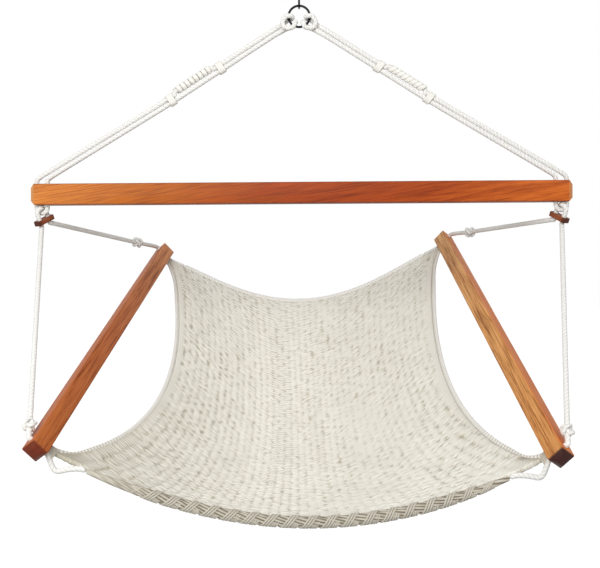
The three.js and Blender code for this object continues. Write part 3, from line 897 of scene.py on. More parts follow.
def wound_tape(side, place, half_spread, section, turns, pitch, slant, sides=12):
    """A flattened cord wound about one strand, or about two side by side."""
    bridle = bridle_frame(side)
    _, down, raised = bridle
    width, thickness = section
    radius = rope_radius + gap / 2 + thickness / 2
    angle = np.arange(turns * winding_steps + 1) / winding_steps * 2 * np.pi
    outward = np.cos(angle)[:, None] * raised + side * np.sin(angle)[:, None] * vec(0, 1, 0)
    spread = half_spread * np.tanh(oval_squareness * np.cos(angle))
    travel = (angle / (2 * np.pi) - turns / 2) * pitch + slant * np.cos(angle)
    centre = bridle_point(bridle, *place, 0)
    path = centre + travel[:, None] * down + spread[:, None] * raised + radius * outward
    tangent = unit(np.gradient(path, axis=0))
    flat = unit(np.cross(outward, tangent))
    turn = turn_angles(sides)
    scale = end_rounding(travelled(path), width / 2)[:, None]
    across = scale * np.cos(turn) * width / 2
    rings = np.stack([across, scale * np.sin(turn) * thickness / 2], axis=-1)
    # Painted shade on the tape's two edges, where it meets the next turn.
    painted_shade = np.abs(np.cos(turn)) ** tape_shade_sharpness
    return skin(path, rings, painted_shade, (flat, np.cross(tangent, flat)))


def place_winding(name, node, tape):
    place_piece(name, [tape], cord_cotton, "beam", "rope", node)


for word, side in chair_sides:
    wrap_section = (wrap_tape, wrap_tape_thickness)
    wrap_place = (wrap_middle, wrap_lift)
    wrap = wound_tape(side, wrap_place, 0, wrap_section, wrap_turns, wrap_pitch, wrap_slant)
    place_winding(f"{word}_wrap_cord", f"{word}_bridle_wrap", wrap)
    for part, reach in (("upper", upper_knot_reach), ("lower", lower_knot_reach)):
        tie_section = (tie_tape, seizing_cord)
        tie = wound_tape(
            side, (reach, 0), strand_half, tie_section, seizing_turns, tie_pitch, tie_slant,
        )
        place_winding(f"{word}_{part}_tie_cord", f"{word}_{part}_bridle_knot", tie)

# %% [markdown]
# ## Seat ropes and their knots
#
# The seat ropes are the same rope. Above each bar the rope is stopped by an overhand
# knot. That knot is the simplest closed curve that can't be undone: it goes twice round
# the standing rope while it rises and falls three times, so two sines make it.

# %% Seat ropes
for word, side in chair_sides:
    place_rope(f"{word}_seat_laid_rope", seat_rope_points(side), "seat", f"{word}_seat_rope")

# %% Overhand knots
knot_ring = 8.6 * MM
knot_swell = 3.2 * MM
knot_rise = 9 * MM
knot_cord = 8.6 * MM
knot_step = 1.2 * MM
knot_rounds = 2
knot_waves = 3
knot_points = 193


def overhand_path(centre, direction):
    turn = np.linspace(0, knot_rounds * 2 * np.pi, knot_points)
    wave = knot_waves / knot_rounds * turn
    side_way = unit(np.cross(direction, vec(0, 1, 0)))
    other_way = np.cross(direction, side_way)
    radius = knot_ring + knot_swell * np.cos(wave)
    rise = knot_rise * np.sin(wave)
    return (
        centre
        + (radius * np.cos(turn))[:, None] * side_way
        + (radius * np.sin(turn))[:, None] * other_way
        + rise[:, None] * direction
    )


for word, side in chair_sides:
    for part, rear in bar_ends:
        _, knot, direction = seat_leg(side, rear)
        laid = laid_cord(even(overhand_path(knot, direction), knot_step), knot_cord, rope_lay)
        name = f"{word}_{part}_overhand_knot"
        place_piece(name, [laid], rope_cotton, "seat", "rope", f"{word}_{part}_knot")


# %% [markdown]
# ## Woven bed
#
# The bed is one cloth of soft cord, made on a frame by twisting neighbouring cords round
# each other. Its face shows rows of short slanted stitches, each of them a soft lump that
# reaches a little into the next column. They lean down towards the middle on the left
# half and up from it on the right, and near the sides they grow long and steep. Single
# cords could be modelled one by one, but thousands of stitches cross here, so the cloth is
# one skin whose height is the highest of the stitches near each point. The grid has a
# fixed number of points in every stitch, so that the pattern never beats against it.


# %% Surface between the bed's edges
def blend_points(first, second, share):
    return first + (second - first) * share[..., None]


def bed_point(across, down):
    sides = blend_points(side_edge(-1, down), side_edge(1, down), across)
    ends = blend_points(rear_edge(across), front_edge(across), down)
    rear_line = blend_points(corner(-1, True), corner(1, True), across)
    front_line = blend_points(corner(-1, False), corner(1, False), across)
    return sides + ends - blend_points(rear_line, front_line, down)


def inset_share(line, end, direction, inset):
    step = inset_step_share if end == 0 else -inset_step_share
    travel = line(end + step) - line(end)
    return inset * inset_step_share / np.linalg.norm(np.cross(travel, direction), axis=-1)


def edge_direction(line, share):
    return unit(line(share + tangent_step_share) - line(share - tangent_step_share))


def bed_middle(rows, columns):
    """Points of the bed's middle surface, clear of its edge ropes and its rim."""
    rough = np.broadcast_to(np.arange(columns + 1) / columns, (rows + 1, columns + 1))
    row = np.broadcast_to((np.arange(rows + 1) / rows)[:, None], rough.shape)
    ones = np.ones(rough.shape)
    rope_inset = rope_radius + gap
    rim_inset = rim_diameter_at(rough) / 2 - gap
    down_line = lambda end: bed_point(rough, ones * end)
    rear = inset_share(down_line, 0, edge_direction(rear_edge, rough), rope_inset)
    rim = inset_share(down_line, 1, edge_direction(front_edge, rough), rim_inset)
    down = rear + (1 - rear - rim) * row
    across_line = lambda end: bed_point(ones * end, down)
    left_way, right_way = (
        edge_direction(lambda share: side_edge(side, share), down) for side in (-1, 1)
    )
    left = inset_share(across_line, 0, left_way, rope_radius)
    right = inset_share(across_line, 1, right_way, rope_radius)
    return bed_point(left + (1 - left - right) * rough, down)


# %% Corners of the cloth, drawn out to the bars
corner_draw = 110 * MM
corner_sharpness = 2.5
# How far off the bar the tip lies, at the rear and at the front.
tip_reaches = {True: 3 * MM, False: 13 * MM}


def drawn_corners(middle):
    """The surface with its corners run out to the bars, and how near each point is to one."""
    drawn = middle.copy()
    tips = np.zeros(middle.shape[:2])
    for row, rear in ((0, True), (-1, False)):
        for column, side in ((0, -1), (-1, 1)):
            _, _, axis, inner = bar_frame(side)
            along = axis * (-1 if rear else 1) * edge_tie_spacing / 2
            tip = bar_hole(side, rear) + along + inner * (bar_section / 2 + tip_reaches[rear])
            away = np.linalg.norm(middle - middle[row, column], axis=2)
            nearness = np.clip(1 - away / corner_draw, 0, 1) ** corner_sharpness
            drawn += nearness[..., None] * (tip - middle[row, column])
            tips += nearness
    return drawn, tips


# %% Size and count of the stitches
stitch_width = 19 * MM
stitch_pitch = 8.6 * MM
stitch_lean = 1.0
stitch_reach_share = 1.25
stitch_depth = 4.6 * MM
points_across = 6
points_along = 5
sketch_cells = 16

sketch = bed_middle(sketch_cells, sketch_cells)
bed_width = np.linalg.norm(np.diff(sketch, axis=1), axis=2).sum(1).mean()
bed_length = np.linalg.norm(np.diff(sketch, axis=0), axis=2).sum(0).mean()
stitch_columns = round(bed_width / stitch_width)
stitch_rows = round(bed_length / stitch_pitch)
print("bed lies flat as", round(bed_width, 3), "by", round(bed_length, 3), "m:",
      stitch_columns, "columns of", stitch_rows, "stitches")

# %% How much each stitch differs from the next
stitch_seed = 7
stitch_shape = (3, stitch_columns + 3, stitch_rows + 4)
stitch_table = np.random.default_rng(stitch_seed).normal(size=stitch_shape)
swell_spread = 0.11
slip_spread = 0.08
shift_spread = 0.12


def stitch_traits(column, row):
    """Each stitch's own swell, slip along its column and shift across it."""
    row = np.clip(row + 2, 0, stitch_rows + 3).astype(int)
    column = np.clip(column + 1, 0, stitch_columns + 2).astype(int)
    swell, slip, shift = stitch_table[:, column, row]
    return 1 + swell_spread * swell, slip_spread * slip, shift_spread * shift


def slow_field(column_phase, row_phase, seed, cells=7):
    """A soft patchwork from about -1 to 1 over the bed, from a coarse table of draws."""
    table = np.random.default_rng(seed).normal(size=(cells + 1, cells + 1))
    last = cells - 0.001
    x = np.clip(column_phase / stitch_columns, 0, 1) * last
    y = np.clip(row_phase / stitch_rows, 0, 1) * last
    i, j = x.astype(int), y.astype(int)
    u, v = (3 - 2 * (x - i)) * (x - i) ** 2, (3 - 2 * (y - j)) * (y - j) ** 2
    near = table[i, j] * (1 - u) + table[i + 1, j] * u
    far = table[i, j + 1] * (1 - u) + table[i + 1, j + 1] * u
    return near * (1 - v) + far * v


# %% Lean of the stitches
# The lean turns over at this column, within about this many columns.
lean_middle = 0.4 * stitch_columns
lean_spread = 0.13 * stitch_columns


def stitch_slope(column):
    """How many rows a stitch climbs in one column: down on the left, up on the right."""
    return stitch_lean * np.tanh((column + 0.5 - lean_middle) / lean_spread)


def climbed(column_phase):
    """The sum of those slopes, for lines that run along the stitches without a break."""
    return stitch_lean * lean_spread * np.log(np.cosh((column_phase - lean_middle) / lean_spread))


# %% Height of the weave
stitch_fullness = 0.9
edge_growth = 2.1
edge_fade = 3.2
steep_share = 0.08
steep_fade = 5


def stitch_height(column_phase, row_phase):
    """From 0 between the stitches to about 1 on top of one."""
    height = np.zeros(column_phase.shape)
    for step in (-1, 0, 1):
        column = np.floor(column_phase) + step
        off_middle = column_phase - column - 0.5
        phase = row_phase - (column % 2) / 2 + stitch_slope(column) * off_middle
        for row in (np.floor(phase), np.floor(phase) + 1):
            swell, slip, shift = stitch_traits(column, row)
            off_row = phase - row - slip
            across = (off_middle - shift) * 2 / stitch_reach_share
            squared = 1 - across**2 - (off_row * 2) ** 2 * stitch_fullness
            height = np.maximum(height, swell * np.sqrt(np.clip(squared, 0, 1)))
    return height


def stroked(column_phase, row_phase):
    """Near the sides of the seat the stitches grow into long, steeper strokes."""
    down = row_phase / stitch_rows
    near_left = np.exp(-column_phase / edge_fade)
    near_right = np.exp((column_phase - stitch_columns) / edge_fade)
    column = column_phase - edge_growth * down**1.5 * (1 - near_left + near_right)
    steep_left = np.exp(-column_phase / steep_fade)
    steep_right = np.exp((column_phase - stitch_columns) / steep_fade)
    row = row_phase + steep_share * stitch_rows * down**3 * (steep_left + steep_right)
    return column, row


# %% Plain strip of long cords beside each side edge
strip_width = 1.0
strip_fade = 0.3
strip_end = 0.72
strip_end_fade = 0.2
strip_cords = 3
strip_level = 0.7
strip_ripple = 0.25


def side_strip(column_phase, row_phase):
    """1 in the strip, which ends before the front, and 0 out of it."""
    from_side = np.minimum(column_phase, stitch_columns - column_phase)
    inside = np.clip((strip_width - from_side) / strip_fade, 0, 1)
    return inside * np.clip((strip_end - row_phase / stitch_rows) / strip_end_fade, 0, 1)


# %% Depth of the weave, and of the shade in it
relief_level = 0.78
relief_spread = 0.12
relief_seed = 11
relief_side = 0.3
side_fade = 12
hollow_sharpness = 1.5
side_shade = 0.45
tip_shade = 0.6


def relief_and_side(column_phase, row_phase):
    """How deep the stitches stand, and how near the shaded left side each point is."""
    down = row_phase / stitch_rows
    left = down * np.exp(-column_phase / side_fade)
    right = down * np.exp((column_phase - stitch_columns) / side_fade)
    patches = slow_field(column_phase, row_phase, relief_seed)
    relief = relief_level + relief_spread * patches + relief_side * left + relief_side * right
    return relief, left


# %% Faces of a closed sheet
def sheet_quads(rows, columns):
    """Faces over two layers of a grid, and round their four edges."""
    stride = columns + 1
    layer = stride * (rows + 1)
    row, column = np.meshgrid(np.arange(rows), np.arange(columns), indexing="ij")
    a = (row * stride + column).ravel()
    b = a + stride
    rear = np.arange(columns)
    front = rows * stride + rear
    left = np.arange(rows) * stride
    right = left + columns
    faces = (
        (a, b, b + 1, a + 1),
        (layer + a, layer + a + 1, layer + b + 1, layer + b),
        (rear, rear + 1, layer + rear + 1, layer + rear),
        (front, layer + front, layer + front + 1, front + 1),
        (left, layer + left, layer + left + stride, left + stride),
        (right, right + stride, layer + right + stride, layer + right),
    )
    return np.vstack([np.stack(face, axis=-1) for face in faces])


# %% Mesh of the bed
rounded_points = 3
rounding_start = 0.6
under_slip = 2


def border_rounding(rows, columns):
    """From nearly 0 on the sheet's borders to 1 a few points inside them."""
    row, column = np.arange(rows + 1), np.arange(columns + 1)
    edge_rows = np.minimum(row, rows - row)
    edge_columns = np.minimum(column, columns - column)
    nearest = np.minimum(edge_rows[:, None], edge_columns[None, :])
    inside = np.clip((nearest + rounding_start) / rounded_points, 0, 1)
    return np.sqrt(1 - (1 - inside) ** 2)


def bed_part():
    rows = stitch_rows * points_along
    columns = stitch_columns * points_across
    middle, tips = drawn_corners(bed_middle(rows, columns))
    normal = unit(np.cross(np.gradient(middle, axis=0), np.gradient(middle, axis=1)))
    column_places = np.arange(columns + 1) / points_across
    phases = np.meshgrid(column_places, np.arange(rows + 1) / points_along)
    stitch_column, stitch_row = stroked(*phases)
    strip = side_strip(*phases)
    cords = strip_level + strip_ripple * np.abs(np.sin(np.pi * strip_cords * phases[0]))
    height = stitch_height(stitch_column, stitch_row) * (1 - strip) + cords * strip
    relief, near_left = relief_and_side(*phases)
    rounding = border_rounding(rows, columns)
    half = (bed_thickness - stitch_depth) / 2 * rounding
    layers = []
    for face, lumps in ((1, height), (-1, np.roll(height, under_slip, axis=0))):
        lift = half + (lumps - 0.5) * relief * stitch_depth * rounding
        layers.append((middle + face * lift[..., None] * normal).reshape(-1, 3))
    quads = sheet_quads(rows, columns)
    lay = np.stack([stitch_column, stitch_row + climbed(stitch_column)], axis=-1).reshape(-1, 2)
    # Painted shade: in the hollows between the stitches, on the left side of the seat and at the
    # corner tips.
    hollow = relief * np.clip(1 - height, 0, 1) ** hollow_sharpness
    painted_shade = (hollow + side_shade * near_left + tip_shade * tips).ravel()
    return {
        "points": np.vstack(layers),
        "quads": quads,
        "triangles": np.zeros((0, 3), int),
        "uv": np.vstack([lay, lay])[quads.ravel()],
        "painted_shade": np.concatenate([painted_shade, painted_shade]),
    }


# %% [markdown]
# ### Soft woven cord
#
# The bed's cord is the same spun yarn, loosely twisted and a little creamier. Its fuzz
# and small shadows between the stitches make it matt. The hollows between the stitches,
# the left side of the seat and the corners' tips are painted darker as shade. The fine
# lines are yarns of about 2 mm that run along each stitch. They are drawn at 4.3 mm, two
# to a stitch, because 2 mm is under a pixel here.

# %% Material of the weave
yarns_per_stitch = 2
weave_fuzz_size = 2.5 * MM
weave_patch_size = 90 * MM


def woven_cord():
    material, tree, surface = new_material("woven_spun_cord")
    lay = add(tree, "ShaderNodeUVMap", {"uv_map": "lay"})
    split = add(tree, "ShaderNodeSeparateXYZ", Vector=lay)
    turn = add(
        tree, "ShaderNodeMath", multiply,
        _0=split.outputs["Y"], _1=2 * math.pi * yarns_per_stitch,
    )
    wave = add(tree, "ShaderNodeMath", sine, _0=turn)
    place = add(tree, "ShaderNodeTexCoord").outputs["Object"]
    fuzz = add(tree, "ShaderNodeTexNoise", Vector=place, Scale=1 / weave_fuzz_size, Detail=4.0)
    patches = add(tree, "ShaderNodeTexNoise", Vector=place, Scale=1 / weave_patch_size, Detail=3.0)
    painted_shade = add(tree, "ShaderNodeAttribute", {"attribute_name": "painted_shade"}).outputs["Fac"]
    # Random patches of dirt, plus the painted shade between the stitches, on the left side and at
    # the corner tips.
    dirt_and_shade = add(tree, "ShaderNodeMath", multiply_add, _0=patches, _1=0.35, _2=painted_shade)
    lines = add(tree, "ShaderNodeMath", multiply_add, _0=wave, _1=-0.13, _2=dirt_and_shade)
    shade = add(tree, "ShaderNodeMath", subtract, _0=lines, _1=0.12)
    tones = ((0, "#f3f0e6"), (0.45, "#e0dccf"), (1, "#bbb4a1"))
    colour = add(tree, "ShaderNodeValToRGB", stops=tones, Fac=shade)
    height = add(tree, "ShaderNodeMath", multiply_add, _0=fuzz, _1=2.0, _2=wave)
    bump = add(tree, "ShaderNodeBump", Strength=0.6, Distance=0.6 * MM, Height=height)
    connect(tree, surface, Base_Color=colour, Normal=bump, Roughness=0.95, Sheen_Weight=0.1)
    return material


# %% Place the bed
bed = place_piece("bed_weave", [bed_part()], woven_cord(), "seat", "weave", "woven_bed")

# %% [markdown]
# ## Edges of the bed
#
# Each side edge is a flat band of four parallel cords, which towards the front is whipped
# over with more cord. A round rope would be simpler, but it would look too thick and too
# plain, so the band is a skin over a flat, rippled section that swells once in each rib.

# %% Side edges
edge_band = 13 * MM
edge_band_thickness = 7 * MM
edge_rib_pitch = 10.5 * MM
edge_step = 2 * MM
band_cords = 4
band_ripple = 0.2
band_roundness = 0.6
whipping_start = 0.45
rib_sharpness = 3
rib_depth = 0.16
rib_shade = 1.3


def edge_tie(side, rear):
    _, _, axis, inner = bar_frame(side)
    place = bar_hole(side, rear) + axis * (-edge_tie_spacing if rear else edge_tie_spacing)
    face = place + inner * (bar_section / 2 + gap)
    return [face, face + inner * edge_tie_stub]


def spaced_shares(start, spans):
    return start + (1 - 2 * start) * np.arange(spans + 1) / spans


def side_edge_points(side):
    start = edge_tie_reach / np.linalg.norm(side_edge(side, 1) - side_edge(side, 0))
    middle = side_edge(side, spaced_shares(start, edge_spans))
    return [*edge_tie(side, True), *middle, *reversed(edge_tie(side, False))]


def flat_band(path, face_way, sides=32):
    """Parallel cords side by side as one flat band, whipped over towards its far end."""
    tangent = unit(np.gradient(path, axis=0))
    up_way = unit(face_way - tangent * (tangent @ face_way)[:, None])
    turn = turn_angles(sides)
    ripple = np.abs(np.sin(np.pi * band_cords * (np.cos(turn) + 1) / 2)) ** band_roundness
    travel = travelled(path)
    whipped = np.clip((travel / travel[-1] - whipping_start) * 2, 0, 1)
    ribs = np.abs(np.cos(np.pi * travel / edge_rib_pitch)) ** rib_sharpness
    rib = (whipped * ribs)[:, None]
    scale = end_rounding(travel, edge_band_thickness / 2)[:, None] * (1 - rib_depth * rib)
    wide = edge_band / 2 * np.cos(turn)
    thick = edge_band_thickness / 2 * np.sin(turn) * (1 - band_ripple + band_ripple * ripple)
    # Painted shade between the band's cords, and between the ribs where it is whipped.
    painted_shade = np.maximum((1 - ripple) * (1 - whipped[:, None]), rib_shade * rib)
    rings = np.stack([scale * wide, scale * thick], axis=-1)
    return skin(path, rings, painted_shade, (np.cross(up_way, tangent), up_way))


for word, side in chair_sides:
    _, _, axis, inner = bar_frame(side)
    band = flat_band(even(smooth(side_edge_points(side)), edge_step), np.cross(axis, inner))
    name, node = f"{word}_edge_rope", f"{word}_side_edge_rope"
    place_piece(name, [band], cord_cotton, "seat", "rope", node)

# %% [markdown]
# ### Lashings at the corners
#
# At each corner the side edge, the rope out of the bar and the tip of the cloth are tied
# together by a few turns of cord against the bar. A plain gap would show there without
# them. A helix whose rounds are ovals, each a cord further from the bar, is enough.

# %% Lashings at the corners
lashing_cord = 4.2 * MM
lashing_half_width = 6.5 * MM
lashing_step = 1.6 * MM
lashing_lift = 0.6 * lashing_cord
lashing_turns = {True: 2, False: 4}
round_points = 24


def lashing_path(side, rear):
    _, _, axis, inner = bar_frame(side)
    middle = bar_hole(side, rear) + axis * (-1 if rear else 1) * edge_tie_spacing / 2
    turn = np.linspace(0, lashing_turns[rear], round_points * lashing_turns[rear] + 1)
    angle = 2 * np.pi * turn
    rise = (bar_section / 2 + lashing_lift + lashing_cord * turn)[:, None]
    along = ((edge_tie_spacing / 2 + lashing_cord) * np.cos(angle))[:, None]
    across = (lashing_half_width * np.sin(angle))[:, None]
    return middle + rise * inner + along * axis + across * np.cross(axis, inner)


for word, side in chair_sides:
    for part, rear in bar_ends:
        lashing = round_cord(even(lashing_path(side, rear), lashing_step), lashing_cord)
        place_piece(f"{word}_{part}_corner_lashing", [lashing], rim_cotton, "seat", "rope")

# %% [markdown]
# ### Rear hem
#
# The rear edge is a cord that the cloth is looped over, so it looks like a row of soft
# lumps, two to a column of stitches. The loops merge into each other in the real one,
# so a hem whose width swells and shrinks is closer to it than separate loops would be.

# %% Rear hem
hem_inner = 8 * MM
hem_outer = 15 * MM
hem_step = 1.6 * MM
hem_lean = 0.35
hem_fullness = 0.95
hem_shade_sharpness = 1.5
lumps_per_column = 2


def edge_path(curve, start, spans, step):
    return even(smooth(curve(spaced_shares(start, spans))), step)


def scalloped_hem(path, pitch, sides=20):
    """A hem whose width swells once in each pitch, in leaning lumps."""
    angle = turn_angles(sides)
    travel = travelled(path)
    phase = travel[:, None] / pitch + hem_lean * np.sin(angle)
    off_middle = 2 * (phase % 1) - 1
    lump = np.sqrt(1 - hem_fullness * off_middle**2)
    width = (hem_inner + (hem_outer - hem_inner) * lump) / 2
    radius = width * end_rounding(travel, hem_inner / 2)[:, None]
    # Painted shade between the lumps.
    return skin(path, round_rings(radius, angle), (1 - lump) ** hem_shade_sharpness)


rear_path = edge_path(rear_edge, rear_share, edge_spans, hem_step)
hem_pitch = travelled(rear_path)[-1] / (lumps_per_column * stitch_columns)
hem = scalloped_hem(rear_path, hem_pitch)
place_piece("rear_edge_loops", [hem], cord_cotton, "seat", "rope", "rear_edge_rope")
print("rear hem swells every", round(hem_pitch / MM, 1), "mm")

# %% [markdown]
# ### Front rim
#
# The front is a thick roll: bundles of cord lie along the edge, and groups of three cords
# wind over them once in each 42 mm, crossed by groups that go the other way and are partly
# tucked under. The groups show clearly as crossed strokes, so here each cord is modelled.

# %% Cord that winds round the rim
wound_points = 24
end_sink = 0.25


def wound_path(path, radius, pitch, start_turn, lean, tuck, margins):
    """A cord that winds round a path: from below up its front, over it and down behind."""
    travel = travelled(path)
    turns = int(travel[-1] / pitch)
    angle = np.arange(turns * wound_points + 1) / wound_points * 2 * np.pi
    station = (angle + lean * (np.cos(angle) - 1)) / (2 * np.pi) * pitch + start_turn * pitch
    keep = (station > margins[0]) & (station < travel[-1] - margins[1])
    angle, station = angle[keep], station[keep]
    ends = np.minimum(station - station[0], station[-1] - station)
    centre = np.column_stack([np.interp(station, travel, path[:, i]) for i in range(3)])
    tangent = unit(np.gradient(centre, axis=0))
    up_way = unit(vec(0, 0, 1) - tangent * tangent[:, 2:])
    front_way = np.cross(tangent, up_way) * np.sign(tangent[:, :1])
    front_way *= np.where(front_way[:, 1:2] > 0, -1, 1)
    sunk = 1 - end_sink + end_sink * np.clip(ends / pitch, 0, 1)
    around = np.interp(station, travel, np.broadcast_to(radius, travel.shape)) * sunk
    reach = (around - tuck * np.sin(angle / 2) ** 2)[:, None]
    return centre + reach * (np.sin(angle)[:, None] * front_way - np.cos(angle)[:, None] * up_way)


# %% Front rim
rim_pitch = 42 * MM
rim_step = 3 * MM
rim_wrap_cord = 4.2 * MM
rim_wrap_step = 1.8 * MM
rim_wrap_sides = 9
rim_wrap_sunk_share = 0.55
rim_bundle_cord = 9.5 * MM
rim_bundle_count = 6
rim_bundle_lay = 120 * MM
rim_bundle_turn = 900 * MM
wrap_margins = (100 * MM, 15 * MM)
cords_per_group = 3
# Where a group starts, how far apart its cords are, its lean, and how far it is tucked in.
wrap_groups = ((0, 0.15, -0.3, 0), (0.5, 0.115, 0.3, 6 * MM))
shade_start = 0.2
shade_length = 220 * MM

rim_path = edge_path(front_edge, rim_share, rim_spans, rim_step)
rim_travel = travelled(rim_path)
rim_radius = rim_diameter_at(rim_share + (1 - 2 * rim_share) * rim_travel / rim_travel[-1]) / 2
rim_across, rim_up = transport(rim_path)
bundle_radius = rim_radius - rim_wrap_cord * rim_wrap_sunk_share - rim_bundle_cord / 2
bundle_width = 2 * np.maximum(bundle_radius, rim_bundle_cord / 4)
rim_parts = [round_cord(rim_path, bundle_width)]
for i in range(rim_bundle_count):
    angle = i / rim_bundle_count * 2 * math.pi + rim_travel / rim_bundle_turn * 2 * math.pi
    outward = np.cos(angle)[:, None] * rim_across + np.sin(angle)[:, None] * rim_up
    shifted = rim_path + np.maximum(bundle_radius, 0)[:, None] * outward
    bundle = laid_cord(shifted, rim_bundle_cord, rim_bundle_lay, strands=4, per_strand=5)
    from_end = np.linalg.norm(bundle["points"] - rim_path[0], axis=1)
    # The painted shade in the bundles' grooves is lighter near the rim's left end.
    bundle["painted_shade"] *= np.clip(shade_start + from_end / shade_length, 0, 1)
    rim_parts.append(bundle)
wrap_radius = rim_radius - rim_wrap_cord / 2
for start, apart, lean, tuck in wrap_groups:
    for i in range(cords_per_group):
        wound = wound_path(
            rim_path, wrap_radius, rim_pitch, start + i * apart, lean, tuck, wrap_margins,
        )
        rim_parts.append(round_cord(even(wound, rim_wrap_step), rim_wrap_cord, rim_wrap_sides))
place_piece("front_rim_roll", rim_parts, rim_cotton, "seat", "weave", "front_rim")

# %% [markdown]
# ## Wooden pieces
#
# The beam, the bars and the sliders were sawn, chamfered and sanded, so no edge is quite
# sharp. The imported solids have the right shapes, so each wooden piece is a copy of its
# solid with the long edges eased by a small bevel, which catches the light. A vector on
# each point holds its place in the piece's own directions, for the grain to follow.


# %% Eased copies of the wooden solids
shortest_edge = 4 * MM
flat_angle = math.radians(1)
eased_angle = math.radians(25)
shaded_angle = math.radians(35)


def eased_copy(name, node, origin, directions, easing):
    work = bmesh.new()
    work.from_mesh(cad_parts[node].data)
    bmesh.ops.remove_doubles(work, verts=work.verts, dist=gap / 8)
    bmesh.ops.dissolve_limit(work, angle_limit=flat_angle, verts=work.verts, edges=work.edges)
    sharp = [edge for edge in work.edges if edge.calc_face_angle(0) > eased_angle]
    sharp = [edge for edge in sharp if edge.calc_length() > shortest_edge]
    bmesh.ops.bevel(
        work, geom=sharp, offset=easing, segments=3, profile=0.5, affect="EDGES",
        clamp_overlap=True,
    )
    bmesh.ops.triangulate(work, faces=[face for face in work.faces if len(face.verts) > 4])
    bmesh.ops.recalc_face_normals(work, faces=work.faces)
    mesh = bpy.data.meshes.new(name)
    work.to_mesh(mesh)
    work.free()
    points = np.empty(len(mesh.vertices) * 3)
    mesh.vertices.foreach_get("co", points)
    local = (points.reshape(-1, 3) - origin) @ np.array(directions).T
    mesh.attributes.new("grain", "FLOAT_VECTOR", "POINT")
    mesh.attributes["grain"].data.foreach_set("vector", local.ravel())
    mesh.shade_smooth()
    mesh.set_sharp_from_angle(angle=shaded_angle)
    return mesh


# %% [markdown]
# ### Oiled hardwood
#
# The wood is an orange-brown hardwood with an oil finish. Oil brings out the colour,
# darkens the open end grain and leaves a soft shine. The tone drifts from one end of a
# piece to the other, and over it lie soft patches of 160 by 13 mm, streaks of 90 by
# 3 mm and pores of 14 by 1 mm, each of them a noise that is stretched along a grain that
# slopes a little to the piece. The pores are wider than real ones, so that they show.
# Three marks are painted over that: painted shade along the beam's long top and bottom
# edges, painted light on the bars' outer faces, which are in shade, and the ends. The
# beam's ends get a painted highlight where their chamfers catch the light. The bars' front
# ends are near-black, partly oiled end grain and partly painted shade, and the sliders'
# ends are darker end grain.


# %% Noise that is stretched along the grain
def grain_noise(tree, grain, length, width, slope, detail=3.0):
    """Noise with features of that length and width, sloping to the piece by an angle."""
    place = add(
        tree, "ShaderNodeMapping", {"vector_type": "TEXTURE"},
        Vector=grain, Rotation=(0, -slope, 0), Scale=(length, width, width),
    )
    return add(tree, "ShaderNodeTexNoise", Vector=place, Scale=1.0, Detail=detail)


# %% Material of the wood
edge_shade = "#5a2418"
edge_reach = 2.2 * MM
edge_full_reach = 0.6 * MM
face_softness = 1.5 * MM
end_softness = 2 * MM


